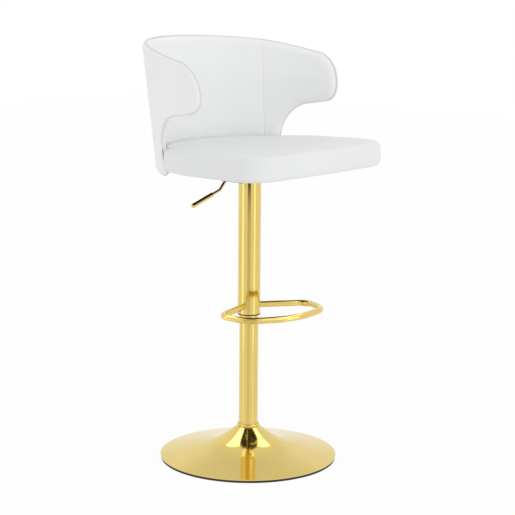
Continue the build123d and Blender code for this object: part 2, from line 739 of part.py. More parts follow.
tee_flange_bottom = board_top - TEE_FLANGE_THICKNESS
with BuildPart() as tee_nuts:
    with BuildSketch(Plane.XY.offset(tee_flange_bottom - TEE_BARREL_LENGTH)):
        with GridLocations(BOLT_SPACING_X, BOLT_SPACING_Y, 2, 2):
            Circle(TEE_BARREL_DIAMETER / 2)
            Circle(BOLT_DIAMETER / 2 + PRESS_GAP, mode=Mode.SUBTRACT)
    extrude(amount=TEE_BARREL_LENGTH)
    with BuildSketch(Plane.XY.offset(tee_flange_bottom)):
        with GridLocations(BOLT_SPACING_X, BOLT_SPACING_Y, 2, 2):
            Circle(TEE_FLANGE_DIAMETER / 2)
            Circle(BOLT_DIAMETER / 2 + PRESS_GAP, mode=Mode.SUBTRACT)
    extrude(amount=TEE_FLANGE_THICKNESS)
save(tee_nuts.part, "tee_nuts")

# Lift lever: a bent rod with a pivot boss, a pin across the channel and a grip sleeve
elbow = (-LEVER_ELBOW_REACH, lever_height - LEVER_ELBOW_DROP)
lever_tip = (-LEVER_TIP_REACH, lever_height - LEVER_TIP_DROP)
tip_run = hypot(lever_tip[0] - elbow[0], lever_tip[1] - elbow[1])
tip_way = ((lever_tip[0] - elbow[0]) / tip_run, (lever_tip[1] - elbow[1]) / tip_run)
rod_end = (lever_tip[0] - tip_way[0] * GRIP_END_WALL, lever_tip[1] - tip_way[1] * GRIP_END_WALL)
with BuildPart() as lever_rod:
    with BuildLine(Plane.XZ) as lever_path:
        FilletPolyline(
            (LEVER_BEHIND_AXIS, lever_height),
            (-LEVER_STRAIGHT_REACH, lever_height),
            elbow,
            rod_end,
            radius=LEVER_BEND,
        )
    lever_line = lever_path.wires()[0]
    with BuildSketch(Plane(origin=lever_line @ 0, z_dir=lever_line % 0)):
        Circle(lever_radius)
    sweep(path=lever_line)
    with Locations((-LEVER_PIVOT_REACH, 0, lever_height)):
        Cylinder(LEVER_BOSS_DIAMETER / 2, LEVER_BOSS_LENGTH, rotation=(90, 0, 0))
        Cylinder(
            pin_radius + RUNNING_GAP,
            2 * LEVER_BOSS_LENGTH,
            rotation=(90, 0, 0),
            mode=Mode.SUBTRACT,
        )
save(lever_rod.part, "lever_rod")

with BuildPart() as lever_pivot_pin:
    with Locations((-LEVER_PIVOT_REACH, 0, lever_height)):
        Cylinder(pin_radius, CHANNEL_WIDTH, rotation=(90, 0, 0))
save(lever_pivot_pin.part, "lever_pivot_pin")

grip_plane = Plane(
    origin=(lever_tip[0], 0, lever_tip[1]),
    x_dir=(0, 1, 0),
    z_dir=(-tip_way[0], 0, -tip_way[1]),
)
with BuildPart() as lever_grip:
    with BuildSketch(grip_plane):
        Circle(GRIP_DIAMETER / 2)
    extrude(amount=GRIP_LENGTH)
    grip_end = lever_grip.edges().filter_by(GeomType.CIRCLE).sort_by(Axis.X)[0]
    fillet(grip_end, radius=GRIP_ROUND)
    with BuildSketch(grip_plane.offset(GRIP_END_WALL - PRESS_GAP)):
        Circle(lever_radius + PRESS_GAP)
    extrude(amount=GRIP_LENGTH, mode=Mode.SUBTRACT)
save(lever_grip.part, "lever_grip")

# Seat board with its tee nut seats and screw holes, and the cloth under it
screw_radius = SCREW_DIAMETER / 2
with BuildPart() as seat_board:
    extrude(to_extrude=seat_section(UNDERSIDE_HEIGHT, BOARD_SHARE), amount=BOARD_THICKNESS)
    with BuildSketch(Plane.XY.offset(UNDERSIDE_HEIGHT)):
        with GridLocations(BOLT_SPACING_X, BOLT_SPACING_Y, 2, 2):
            Circle(TEE_BARREL_DIAMETER / 2 + PRESS_GAP)
        with Locations(*foot_screw_places):
            Circle(screw_radius + PRESS_GAP)
    extrude(amount=BOARD_THICKNESS, mode=Mode.SUBTRACT)
    with BuildSketch(Plane.XY.offset(tee_flange_bottom)):
        with GridLocations(BOLT_SPACING_X, BOLT_SPACING_Y, 2, 2):
            Circle(TEE_FLANGE_DIAMETER / 2 + PRESS_GAP)
    extrude(amount=BOARD_THICKNESS, mode=Mode.SUBTRACT)
save(seat_board.part, "seat_board")

with BuildPart() as under_seat_cloth:
    extrude(to_extrude=seat_section(plate_top, CLOTH_SHARE), amount=CLOTH_THICKNESS)
    with BuildSketch(Plane.XY.offset(plate_top)):
        with GridLocations(BOLT_SPACING_X, BOLT_SPACING_Y, 2, 2):
            Circle(BOLT_DIAMETER / 2 + SLIDING_GAP)
        with Locations(*foot_screw_places):
            Circle(screw_radius + SLIDING_GAP)
    extrude(amount=CLOTH_THICKNESS, mode=Mode.SUBTRACT)
save(under_seat_cloth.part, "under_seat_cloth")

# Seat cushion: crowned, with drawn-in sides, wrapped over the board's edge
pocket_share = BOARD_SHARE + POCKET_ROOM / (SEAT_WIDTH / 2)
cushion_sections = [seat_section(UNDERSIDE_HEIGHT + rise, share) for rise, share in CUSHION_SECTIONS]
with BuildPart() as seat_cushion:
    loft(sections=cushion_sections, ruled=True)
    extrude(
        to_extrude=seat_section(UNDERSIDE_HEIGHT, pocket_share),
        amount=BOARD_THICKNESS + POCKET_ROOM,
        mode=Mode.SUBTRACT,
    )
save(seat_cushion.part, "seat_cushion")

# Wrap-around back in layers: outer cover, moulded plywood, inner pad and edge piping
band_ends = (band_bottom, band_top)
with BuildPart() as back_outer_cover:
    loft(sections=[band_section(height, 0, OUTER_COVER) for height in band_ends], ruled=True)
    extrude(to_extrude=back_outline(0), amount=BASE_DIAMETER, both=True, mode=Mode.INTERSECT)
save(back_outer_cover.part, "back_outer_cover")

with BuildPart() as back_shell:
    loft(sections=[band_section(height, ply_outer, ply_inner) for height in band_ends], ruled=True)
    extrude(to_extrude=back_outline(0), amount=BASE_DIAMETER, both=True, mode=Mode.INTERSECT)
    for angle, height in leg_screw_places:
        with BuildSketch(radial_plane(angle, bracket_inset(angle, BRACKET_FOOT_LENGTH), height)):
            Circle(screw_radius + PRESS_GAP)
        extrude(amount=BASE_DIAMETER, mode=Mode.SUBTRACT)
save(back_shell.part, "back_shell")

pad_layers = (
    (band_bottom, PAD_LOWER_THICKNESS),
    (pad_crown, PAD_CROWN_THICKNESS),
    (band_top, PAD_UPPER_THICKNESS),
)
with BuildPart() as back_inner_pad:
    loft(
        sections=[band_section(height, pad_outer, pad_outer + thick) for height, thick in pad_layers],
        ruled=True,
    )
    extrude(to_extrude=back_outline(0), amount=BASE_DIAMETER, both=True, mode=Mode.INTERSECT)
    with BuildSketch(Plane.XY.offset(band_bottom)):
        Rectangle(2 * BASE_DIAMETER, 2 * BASE_DIAMETER)
    extrude(amount=pad_bottom - band_bottom, mode=Mode.SUBTRACT)
save(back_inner_pad.part, "back_inner_pad")

with BuildPart() as back_piping:
    piping_inner = PIPING_DEPTH - PIPING_PROUD
    loft(
        sections=[band_section(height, -PIPING_PROUD, piping_inner) for height in band_ends],
        ruled=True,
    )
    extrude(to_extrude=back_outline(PIPING_WIDTH), amount=BASE_DIAMETER, both=True, mode=Mode.INTERSECT)
    extrude(to_extrude=back_outline(PIPING_GAP), amount=BASE_DIAMETER, both=True, mode=Mode.SUBTRACT)
save(back_piping.part, "back_piping")

# Angle brackets between the board's underside and the plywood, and their screws
bracket_bottom = plate_top - BRACKET_THICKNESS
bracket_top = plate_top + BRACKET_HEIGHT
with BuildPart() as back_brackets:
    for angle in bracket_angles:
        turn = radians(angle)
        foot_start = bracket_inset(angle, BRACKET_FOOT_LENGTH)
        bracket_plane = Plane(
            origin=(0, OVAL_CENTRE, 0),
            x_dir=(cos(turn), sin(turn), 0),
            z_dir=(sin(turn), -cos(turn), 0),
        )
        with BuildSketch(bracket_plane):
            with BuildLine():
                Polyline(
                    (foot_start, bracket_bottom),
                    (bracket_wall(angle, bracket_bottom), bracket_bottom),
                    (bracket_wall(angle, bracket_top), bracket_top),
                    (bracket_wall(angle, bracket_top) - BRACKET_THICKNESS, bracket_top),
                    (bracket_wall(angle, plate_top) - BRACKET_THICKNESS, plate_top),
                    (foot_start, plate_top),
                    close=True,
                )
            make_face()
        extrude(amount=BRACKET_WIDTH / 2, both=True)
    with BuildSketch(Plane.XY.offset(bracket_bottom)):
        with Locations(*foot_screw_places):
            Circle(screw_radius + PRESS_GAP)
    extrude(amount=BRACKET_THICKNESS, mode=Mode.SUBTRACT)
    for angle, height in leg_screw_places:
        with BuildSketch(radial_plane(angle, bracket_inset(angle, BRACKET_FOOT_LENGTH), height)):
            Circle(screw_radius + PRESS_GAP)
        extrude(amount=BASE_DIAMETER, mode=Mode.SUBTRACT)
save(back_brackets.part, "back_brackets")

head_radius = SCREW_HEAD_DIAMETER / 2
with BuildPart() as bracket_screws:
    with BuildSketch(Plane.XY.offset(bracket_bottom - SCREW_HEAD_HEIGHT)):
        with Locations(*foot_screw_places):
            Circle(head_radius)
    extrude(amount=SCREW_HEAD_HEIGHT)
    with BuildSketch(Plane.XY.offset(bracket_bottom)):
        with Locations(*foot_screw_places):
            Circle(screw_radius)
    extrude(amount=BRACKET_THICKNESS + CLOTH_THICKNESS + SCREW_BITE)
    for angle, height in leg_screw_places:
        lean = (bracket_wall(angle, bracket_top) - bracket_wall(angle, plate_top)) / BRACKET_HEIGHT
        head_face = bracket_wall(angle, height) - BRACKET_THICKNESS - head_radius * lean - PRESS_GAP
        with BuildSketch(radial_plane(angle, head_face - SCREW_HEAD_HEIGHT, height)):
            Circle(head_radius)
        extrude(amount=SCREW_HEAD_HEIGHT)
        with BuildSketch(radial_plane(angle, head_face, height)):
            Circle(screw_radius)
        extrude(amount=BRACKET_THICKNESS + SCREW_BITE)
save(bracket_screws.part, "bracket_screws")
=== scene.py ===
# %% [markdown]
# # A white bar stool with a gold pedestal
# The stool is already built as solids that move: base, spindle, lift, lever and valve.
# This lesson dresses that frame. The hard metal pieces keep their solids and get better
# finishes. The soft pieces (cushion, padded back, cover and piping) are made here as
# surfaces on grids, because leather over foam has no sharp solid shape.

# %% Load the frame
import json

import bmesh
import bpy
import numpy as np
from mathutils import Matrix


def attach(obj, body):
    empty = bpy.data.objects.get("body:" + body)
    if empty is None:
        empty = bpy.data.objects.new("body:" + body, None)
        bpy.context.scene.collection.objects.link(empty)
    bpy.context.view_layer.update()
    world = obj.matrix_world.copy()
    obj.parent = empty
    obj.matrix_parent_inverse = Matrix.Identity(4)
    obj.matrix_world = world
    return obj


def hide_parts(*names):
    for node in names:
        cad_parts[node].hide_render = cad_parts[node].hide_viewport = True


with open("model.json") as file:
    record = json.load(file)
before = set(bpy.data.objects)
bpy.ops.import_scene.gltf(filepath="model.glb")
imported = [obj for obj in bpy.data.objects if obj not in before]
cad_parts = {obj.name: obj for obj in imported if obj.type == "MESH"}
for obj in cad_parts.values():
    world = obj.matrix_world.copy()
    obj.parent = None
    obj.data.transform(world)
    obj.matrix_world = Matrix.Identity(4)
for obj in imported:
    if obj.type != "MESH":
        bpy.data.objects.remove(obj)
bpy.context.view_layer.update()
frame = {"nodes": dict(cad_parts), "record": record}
scene = bpy.context.scene
scene.view_settings.view_transform = "Standard"
MM = 0.001

# %% [markdown]
# ## Camera
# The photograph looks down a little on the sitter's right front corner of the seat. A long
# lens far away keeps the verticals nearly parallel, so the camera is placed by its distance
# and bearing, and its matrix is built from its own right, up and backward directions.

# %% Camera
CAMERA_DISTANCE = 4.0
CAMERA_HEIGHT = 1.272
CAMERA_BEARING = np.radians(49.0)
CAMERA_PITCH = 0.18601
CAMERA_ROLL = 0.00704
FOCAL_PIXELS = 1613.86
PICTURE_PIXELS = 515
SENSOR_MM = 36.0
SHIFT_PIXELS = 8.12


def camera_axes(bearing, pitch, roll):
    """Right, up and backward directions of a camera that looks along the bearing and down by
    the pitch, then turned about its own line of sight by the roll."""
    level = np.array([np.sin(bearing), np.cos(bearing), 0.0])
    right = np.array([np.cos(bearing), -np.sin(bearing), 0.0])
    ahead = np.cos(pitch) * level - np.sin(pitch) * np.array([0.0, 0.0, 1.0])
    up = np.cross(right, ahead)
    turned_right = np.cos(roll) * right + np.sin(roll) * up
    turned_up = np.cos(roll) * up - np.sin(roll) * right
    return turned_right, turned_up, -ahead


def standing_at(right, up, backward, place):
    """The matrix of an object, whose columns are its own three directions and its place."""
    columns = np.column_stack([right, up, backward, place])
    return Matrix([*columns.tolist(), [0.0, 0.0, 0.0, 1.0]])


camera = bpy.data.objects.new("camera", bpy.data.cameras.new("camera"))
scene.collection.objects.link(camera)
camera.data.sensor_width = SENSOR_MM
camera.data.lens = FOCAL_PIXELS / PICTURE_PIXELS * SENSOR_MM
camera.data.shift_x = SHIFT_PIXELS / PICTURE_PIXELS
camera_place = (
    -CAMERA_DISTANCE * np.sin(CAMERA_BEARING),
    -CAMERA_DISTANCE * np.cos(CAMERA_BEARING),
    CAMERA_HEIGHT,
)
axes = camera_axes(CAMERA_BEARING, CAMERA_PITCH, CAMERA_ROLL)
camera.matrix_world = standing_at(*axes, camera_place)
scene.camera = camera
print("lens in mm:", round(camera.data.lens, 1))

# %% [markdown]
# ## Shader arithmetic
# Node trees are easier to read as formulas. `Wire` wraps one output socket, and adding,
# subtracting or multiplying wires adds the Math nodes. `Finish` is a node tree whose one
# method, `node`, makes any node from its type, its settings and its sockets; the methods
# below it only name the sets of sockets that are used often.

# %% Wires and finishes
WHITE = (1.0, 1.0, 1.0)


class Wire:
    """A number or colour that changes over a surface: the output of a node in a finish."""

    def __init__(self, finish, socket):
        self.finish = finish
        self.socket = socket

    def math(self, operation, first, second):
        sockets = {0: first, 1: second}
        return self.finish.node("ShaderNodeMath", {"operation": operation}, sockets).out()

    def __add__(self, other):
        return self.math("ADD", self, other)

    __radd__ = __add__

    def __sub__(self, other):
        return self.math("SUBTRACT", self, other)

    def __rsub__(self, other):
        return self.math("SUBTRACT", other, self)

    def __mul__(self, other):
        return self.math("MULTIPLY", self, other)

    __rmul__ = __mul__


class Made:
    """A node just made, whose outputs are taken by name or number."""

    def __init__(self, finish, node):
        self.finish = finish
        self.node = node

    def out(self, name=0):
        return Wire(self.finish, self.node.outputs[name])


class Finish:
    """A node tree with a single method that makes nodes: a material's, or the world's."""

    def __init__(self, owner):
        owner.use_nodes = True
        self.owner = owner
        self.tree = owner.node_tree
        self.tree.nodes.clear()

    def node(self, kind, settings=None, sockets=None):
        made = self.tree.nodes.new(kind)
        for name, value in (settings or {}).items():
            if name == "stops":
                while len(made.color_ramp.elements) < len(value):
                    made.color_ramp.elements.new(0.5)
                for element, (place, colour) in zip(made.color_ramp.elements, value):
                    element.position = place
                    element.color = (*colour, 1.0)
            else:
                setattr(made, name, value)
        for name, value in (sockets or {}).items():
            if isinstance(value, Wire):
                self.tree.links.new(value.socket, made.inputs[name])
            else:
                made.inputs[name].default_value = value
        return Made(self, made)

    def place(self):
        return self.node("ShaderNodeTexCoord").out("Object")

    def place_along(self, axis):
        return self.node("ShaderNodeSeparateXYZ", {}, {"Vector": self.place()}).out(axis)

    def noise(self, scale, detail=2.0, place=None):
        sockets = {"Vector": place or self.place(), "Scale": scale, "Detail": detail}
        return self.node("ShaderNodeTexNoise", {}, sockets).out("Fac")

    def drawn_noise(self, scales, detail):
        """Noise with a scale for each axis, drawn out along the axis with the smallest."""
        sockets = {"Vector": self.place(), "Scale": scales}
        return self.noise(1.0, detail, self.node("ShaderNodeMapping", {}, sockets).out("Vector"))

    def blend(self, share, first, second):
        """A colour that goes from the first to the second as the share goes from 0 to 1."""
        sockets = {"Factor": share, 6: (*first, 1.0), 7: (*second, 1.0)}
        return self.node("ShaderNodeMix", {"data_type": "RGBA"}, sockets).out(2)

    def bump(self, height, depth, strength):
        sockets = {"Height": height, "Distance": depth, "Strength": strength}
        return self.node("ShaderNodeBump", {}, sockets).out("Normal")

    def glow(self, colour, strength):
        sockets = {"Color": colour, "Strength": strength}
        return self.node("ShaderNodeEmission", {}, sockets).out("Emission")

    def result(self, shader):
        self.node("ShaderNodeOutputMaterial", {}, {"Surface": shader})
        return self.owner

    def surface(self, sockets):
        return self.result(self.node("ShaderNodeBsdfPrincipled", {}, sockets).out("BSDF"))


def new_finish(name):
    return Finish(bpy.data.materials.new(name))


print("node tools:", Wire.__name__, Made.__name__, Finish.__name__)

# %% [markdown]
# ## Leatherette
# The upholstery is a coated fabric with a fine pebbled grain. Cells of a Voronoi texture
# about a millimetre across give the pebbles, a finer noise breaks them up, and a slow noise
# varies the shade and the gloss, as handling does on the real thing. All of it is read from
# Object coordinates, so the grain has one scale on every piece. The white comes in two
# copies of one leatherette: the back's is lighter, as painted light, and the seat's greyer,
# as painted shade, to even out how the lamps fall on them.

# %% Leatherette
GRAIN_CELLS_PER_METRE = 800.0
HANDLED_PATCHES_PER_METRE = 9.0
PEBBLE_HEIGHT, FINE_HEIGHT = 1.6, 0.5
GRAIN_DEPTH, GRAIN_STRENGTH = 0.25 * MM, 0.35
LEATHER_ROUGHNESS = 0.42
HANDLED_ROUGHNESS = 0.12
PEBBLE_POLISH = 0.08
LEATHER_SPECULAR = 0.22
# Lit and shaded copies of one white: the back's carries painted light and the seat's carries
# painted shade.
BACK_LEATHER_PAINTED_LIGHT = (0.895, 0.90, 0.902)
BACK_LEATHER_HANDLED_PAINTED_LIGHT = (0.865, 0.872, 0.875)
SEAT_LEATHER_PAINTED_SHADE = (0.815, 0.82, 0.822)
SEAT_LEATHER_HANDLED_PAINTED_SHADE = (0.785, 0.792, 0.795)
GREY_LEATHER = (0.79, 0.79, 0.792)
GREY_LEATHER_SHADE = (0.75, 0.75, 0.752)


def leatherette(name, light, shade):
    """Pebbles and fine noise raise the grain; handling shades the colour and dulls the gloss."""
    finish = new_finish(name)
    pebbles = finish.node(
        "ShaderNodeTexVoronoi",
        {"feature": "DISTANCE_TO_EDGE"},
        {"Vector": finish.place(), "Scale": GRAIN_CELLS_PER_METRE},
    ).out("Distance")
    fine = finish.noise(GRAIN_CELLS_PER_METRE * 2, 3.0)
    handled = finish.noise(HANDLED_PATCHES_PER_METRE, 3.0)
    grain = pebbles * PEBBLE_HEIGHT + fine * FINE_HEIGHT
    dulled = LEATHER_ROUGHNESS + handled * HANDLED_ROUGHNESS
    return finish.surface(
        {
            "Base Color": finish.blend(handled, light, shade),
            "Roughness": dulled - pebbles * PEBBLE_POLISH,
            "Normal": finish.bump(grain, GRAIN_DEPTH, GRAIN_STRENGTH),
            "Specular IOR Level": LEATHER_SPECULAR,
        }
    )


# The back's copy carries painted light and the seat's copy carries painted shade.
back_leatherette_painted_light = leatherette("white_back_leatherette_painted_light", BACK_LEATHER_PAINTED_LIGHT, BACK_LEATHER_HANDLED_PAINTED_LIGHT)
seat_leatherette_painted_shade = leatherette("white_seat_leatherette_painted_shade", SEAT_LEATHER_PAINTED_SHADE, SEAT_LEATHER_HANDLED_PAINTED_SHADE)
grey_leatherette = leatherette("grey_piping_leatherette", GREY_LEATHER, GREY_LEATHER_SHADE)
print("leatherettes:", back_leatherette_painted_light.name, seat_leatherette_painted_shade.name, grey_leatherette.name)

# %% [markdown]
# ## Gold coating
# The pedestal is steel with a polished gold coating. Polish is never perfect: a slow noise
# changes its roughness, and a fine one drawn out round the column leaves hairlines.

# %% Gold coating
GOLD = (0.79, 0.61, 0.20)
GOLD_DEEP = (0.73, 0.55, 0.155)
POLISH_PATCHES_PER_METRE = 14.0
HAIRLINES_PER_METRE = (60.0, 60.0, 900.0)
GOLD_ROUGHNESS, POLISH_ROUGHNESS, HAIRLINE_ROUGHNESS = 0.06, 0.05, 0.03
HAIRLINE_DEPTH, HAIRLINE_STRENGTH = 0.01 * MM, 0.12


def gold_coating():
    """Roughness is a base plus shares of the polish and the hairlines."""
    finish = new_finish("gold_coating")
    hairlines = finish.drawn_noise(HAIRLINES_PER_METRE, 3.0)
    polish = finish.noise(POLISH_PATCHES_PER_METRE)
    dulled = GOLD_ROUGHNESS + polish * POLISH_ROUGHNESS
    return finish.surface(
        {
            "Base Color": finish.blend(polish, GOLD, GOLD_DEEP),
            "Metallic": 1.0,
            "Roughness": dulled + hairlines * HAIRLINE_ROUGHNESS,
            "Normal": finish.bump(hairlines, HAIRLINE_DEPTH, HAIRLINE_STRENGTH),
        }
    )


gold = gold_coating()
print("metal finish:", gold.name)

# %% [markdown]
# ## Hidden pieces
# Under the seat and inside the column are zinc, black paint, moulded plastic, rubber,
# plywood and a woven cloth. Each gets the plain finish that such a piece has: worn patches
# and pits on metal, flow marks on mouldings, veneer grain drawn out along the board.

# %% Hidden metals and mouldings
WEAR_PATCHES_PER_METRE = 60.0
WEAR_ROUGHNESS = 0.2
PITS_PER_METRE = 900.0
PIT_DEPTH, PIT_STRENGTH = 0.05 * MM, 0.25
FLOW_PATCHES_PER_METRE = 25.0
FLOW_ROUGHNESS = 0.1
MOULD_DEPTH, MOULD_STRENGTH = 0.1 * MM, 0.4


def worn_metal(name, light, shade, roughness, metallic):
    """Patches of wear change colour and roughness, and fine noise pits the surface."""
    finish = new_finish(name)
    wear = finish.noise(WEAR_PATCHES_PER_METRE, 4.0)
    return finish.surface(
        {
            "Base Color": finish.blend(wear, light, shade),
            "Metallic": metallic,
            "Roughness": roughness + wear * WEAR_ROUGHNESS,
            "Normal": finish.bump(finish.noise(PITS_PER_METRE), PIT_DEPTH, PIT_STRENGTH),
        }
    )


def moulded(name, light, shade, roughness, grains_per_metre):
    """Slow flow marks change colour and roughness, and the mould's texture raises grains."""
    finish = new_finish(name)
    flow = finish.noise(FLOW_PATCHES_PER_METRE)
    texture = finish.noise(grains_per_metre, 3.0)
    return finish.surface(
        {
            "Base Color": finish.blend(flow, light, shade),
            "Roughness": roughness + flow * FLOW_ROUGHNESS,
            "Normal": finish.bump(texture, MOULD_DEPTH, MOULD_STRENGTH),
        }
    )


slot_finishes = {
    "gold_metal": gold,
    "black_rubber": moulded(
        "black_rubber", (0.012, 0.012, 0.012), (0.022, 0.022, 0.021), 0.6, 500.0
    ),
    "black_plastic": moulded(
        "black_plastic", (0.014, 0.013, 0.011), (0.022, 0.02, 0.018), 0.35, 900.0
    ),
    "plain_steel": worn_metal(
        "zinc_plated_steel", (0.62, 0.62, 0.63), (0.48, 0.48, 0.5), 0.25, 1.0
    ),
    "black_steel": worn_metal(
        "black_painted_steel", (0.014, 0.014, 0.015), (0.03, 0.03, 0.031), 0.35, 0.0
    ),
}
print("finishes so far:", sorted(slot_finishes))

# %% Plywood and cloth, and finishes on the solids
VENEER_LINES_PER_METRE = (12.0, 160.0, 160.0)
BIRCH, BIRCH_DARK = (0.62, 0.45, 0.27), (0.42, 0.28, 0.15)
VENEER_ROUGHNESS = (0.55, 0.2)
VENEER_DEPTH, VENEER_STRENGTH = 0.2 * MM, 0.3
WEAVE_RADIANS_PER_METRE = 4500.0
CLOTH_BLACK, CLOTH_THREAD = (0.012, 0.012, 0.013), (0.03, 0.03, 0.032)
WEAVE_ROUGHNESS = (0.85, 0.1)
WEAVE_DEPTH, WEAVE_STRENGTH = 0.2 * MM, 0.5


def plywood():
    """One drawn-out noise gives the colour, the roughness and the relief of the veneer."""
    finish = new_finish("birch_plywood")
    grain = finish.drawn_noise(VENEER_LINES_PER_METRE, 5.0)
    return finish.surface(
        {
            "Base Color": finish.blend(grain, BIRCH, BIRCH_DARK),
            "Roughness": VENEER_ROUGHNESS[0] + grain * VENEER_ROUGHNESS[1],
            "Normal": finish.bump(grain, VENEER_DEPTH, VENEER_STRENGTH),
        }
    )


def woven_cloth():
    """A weave: the product of a sine along x and a sine along y, moved to 0 to 1."""
    finish = new_finish("dust_cloth")
    across, along = (
        finish.node(
            "ShaderNodeMath",
            {"operation": "SINE"},
            {0: finish.place_along(axis) * WEAVE_RADIANS_PER_METRE},
        ).out()
        for axis in ("X", "Y")
    )
    weave = across * along * 0.5 + 0.5
    return finish.surface(
        {
            "Base Color": finish.blend(weave, CLOTH_BLACK, CLOTH_THREAD),
            "Roughness": WEAVE_ROUGHNESS[0] + weave * WEAVE_ROUGHNESS[1],
            "Normal": finish.bump(weave, WEAVE_DEPTH, WEAVE_STRENGTH),
        }
    )


slot_finishes["plywood"] = plywood()
slot_finishes["black_cloth"] = woven_cloth()
for row in frame["record"]["subparts"]:
    if row["material_slot"] in slot_finishes:
        node = frame["nodes"][row["node"]]
        node.data.materials.clear()
        node.data.materials.append(slot_finishes[row["material_slot"]])
print("finishes on solids:", len(slot_finishes))

# %% [markdown]
# ## Curves
# Every soft piece starts as a curve: a run of straight lines with rounded corners, an arc
# through three points, or both. A curve is resampled to even steps, and a closed one can be
# softened, as foam softens the corners of a cut block.

# %% Curve helpers


def rounded_path(corners, rounds, steps):
    """Straight runs joined by arcs: at each inner corner an arc of the given radius touches
    both runs, and its points come from turning the first touching point about the centre."""
    corners = np.asarray(corners, float)
    rounds = np.asarray(rounds, float)[:, None]
    before = corners[1:-1] - corners[:-2]
    after = corners[2:] - corners[1:-1]
    before /= np.linalg.norm(before, axis=1, keepdims=True)
    after /= np.linalg.norm(after, axis=1, keepdims=True)
    cross = before[:, :1] * after[:, 1:] - before[:, 1:] * after[:, :1]
    turn = np.arctan2(cross, (before * after).sum(1, keepdims=True))
    touch = corners[1:-1] - before * rounds * np.tan(np.abs(turn) / 2)
    aside = np.sign(turn) * np.hstack([-before[:, 1:], before[:, :1]])
    centre = touch + aside * rounds
    arm = touch - centre
    angle = turn * np.linspace(0, 1, steps)[None, :]
    arcs = np.stack(
        [
            centre[:, :1] + arm[:, :1] * np.cos(angle) - arm[:, 1:] * np.sin(angle),
            centre[:, 1:] + arm[:, :1] * np.sin(angle) + arm[:, 1:] * np.cos(angle),
        ],
        axis=2,
    )
    return np.vstack([corners[:1], arcs.reshape(-1, 2), corners[-1:]])


def arc_through(first, middle, last, steps=40):
    """A circle's arc through three points: its centre is where the middle lines of the two
    chords meet, and the angle runs evenly from the first point to the last."""
    first, middle, last = (np.asarray(point, float) for point in (first, middle, last))
    sides = 2 * np.array([middle - first, last - first])
    squares = [middle @ middle - first @ first, last @ last - first @ first]
    centre = np.linalg.solve(sides, squares)
    start, end = (np.arctan2(*(point - centre)[::-1]) for point in (first, last))
    to_middle, to_last = middle - first, last - middle
    way = np.sign(to_middle[0] * to_last[1] - to_middle[1] * to_last[0])
    sweep = way * np.mod(way * (end - start), 2 * np.pi)
    angle = start + sweep * np.linspace(0, 1, steps)
    radius = np.linalg.norm(first - centre)
    return centre + radius * np.column_stack([np.cos(angle), np.sin(angle)])


def length_along(curve):
    """Distance of each point of a curve from its first one, added up along the curve."""
    lengths = np.linalg.norm(np.diff(curve, axis=0), axis=1)
    return np.concatenate([[0.0], np.cumsum(lengths)])


def even_steps(curve, count):
    """The same curve with its points at even distances along it."""
    along = length_along(curve)
    wanted = np.linspace(0, along[-1], count)
    return np.column_stack([np.interp(wanted, along, axis) for axis in curve.T])


def softened(loop, step, width):
    """A closed, evenly stepped curve smoothed by a bell of the given width: each of its waves
    is damped by exp(-(width x frequency)^2 / 2)."""
    frequency = 2 * np.pi * np.fft.rfftfreq(len(loop), step)
    damping = np.exp(-0.5 * (width * frequency) ** 2)
    waves = [np.fft.rfft(axis) * damping for axis in loop.T]
    return np.column_stack([np.fft.irfft(wave, len(loop)) for wave in waves])


def smooth_rise(value, low, high):
    """0 below low, 1 above high and a smooth S between: 3t^2 - 2t^3."""
    share = np.clip((value - low) / (high - low), 0, 1)
    return share * share * (3 - 2 * share)


half_circle = arc_through((-1, 0), (0, 1), (1, 0))
print("a half circle's length over its radius:", round(length_along(half_circle)[-1], 3))

# %% [markdown]
# ## Grids
# A grid of points becomes a mesh whose rows and columns are joined by four-sided faces. The
# points go in as whole arrays, which is much quicker than one vertex at a time.

# %% Grid helpers
ONE_FACE = [[0, 1, 2, 3]]


def grid_faces(rows, columns, wrap_rows, wrap_columns):
    """Four corners of each face of a grid, row by row; a wrapped direction joins its ends."""
    row = np.arange(rows if wrap_rows else rows - 1)[:, None]
    column = np.arange(columns if wrap_columns else columns - 1)[None, :]
    next_row = (row + 1) % rows
    next_column = (column + 1) % columns
    corners = [
        row * columns + column,
        row * columns + next_column,
        next_row * columns + next_column,
        next_row * columns + column,
    ]
    return np.stack(corners, axis=-1).reshape(-1, 4).tolist()


def new_piece(name, points, faces, material):
    """A smooth-shaded mesh object at the origin from points and faces."""
    mesh = bpy.data.meshes.new(name)
    mesh.from_pydata(points.reshape(-1, 3).tolist(), [], faces)
    mesh.materials.append(material)
    mesh.shade_smooth()
    mesh.update()
    piece = bpy.data.objects.new(name, mesh)
    scene.collection.objects.link(piece)
    return piece


def mesh_points(mesh):
    flat = np.empty(3 * len(mesh.vertices), np.float32)
    mesh.vertices.foreach_get("co", flat)
    return flat.reshape(-1, 3).astype(float)


def set_mesh_points(mesh, points):
    mesh.vertices.foreach_set("co", points.astype(np.float32).ravel())
    mesh.update()


print("faces of a 3 x 4 tube:", len(grid_faces(3, 4, False, True)))

# %% [markdown]
# ## Seat plan
# The seat is a foam block on a board, wrapped in leatherette. Its plan has a gently bowed
# front, round front corners, sides that follow the back's oval, and behind the notch a
# narrower rear that slips inside the back.

# %% Seat plan
SEAT_HALF_WIDTH = 265 * MM
SEAT_MIDDLE_HALF_WIDTH = 262 * MM
SEAT_NOTCH_HALF_WIDTH = 257 * MM
SEAT_FRONT = 244 * MM
SEAT_BOW = 5 * MM
SEAT_CORNER = 66 * MM
SEAT_SIDE_DEPTH = 250 * MM
SEAT_NOTCH = 86.5 * MM
SEAT_INNER_NOTCH = 90 * MM
SEAT_REAR = (233.5 * MM, 239.0 * MM)
OVAL_CENTRE = -30 * MM
PLAN_CENTRE = np.array([0.0, OVAL_CENTRE])
PLAN_STEPS = 360
PLAN_SOFTNESS = 8 * MM
BOW_STEPS = 40


def oval_at(half_width, half_depth, angle):
    return np.array([half_width * np.cos(angle), OVAL_CENTRE + half_depth * np.sin(angle)])


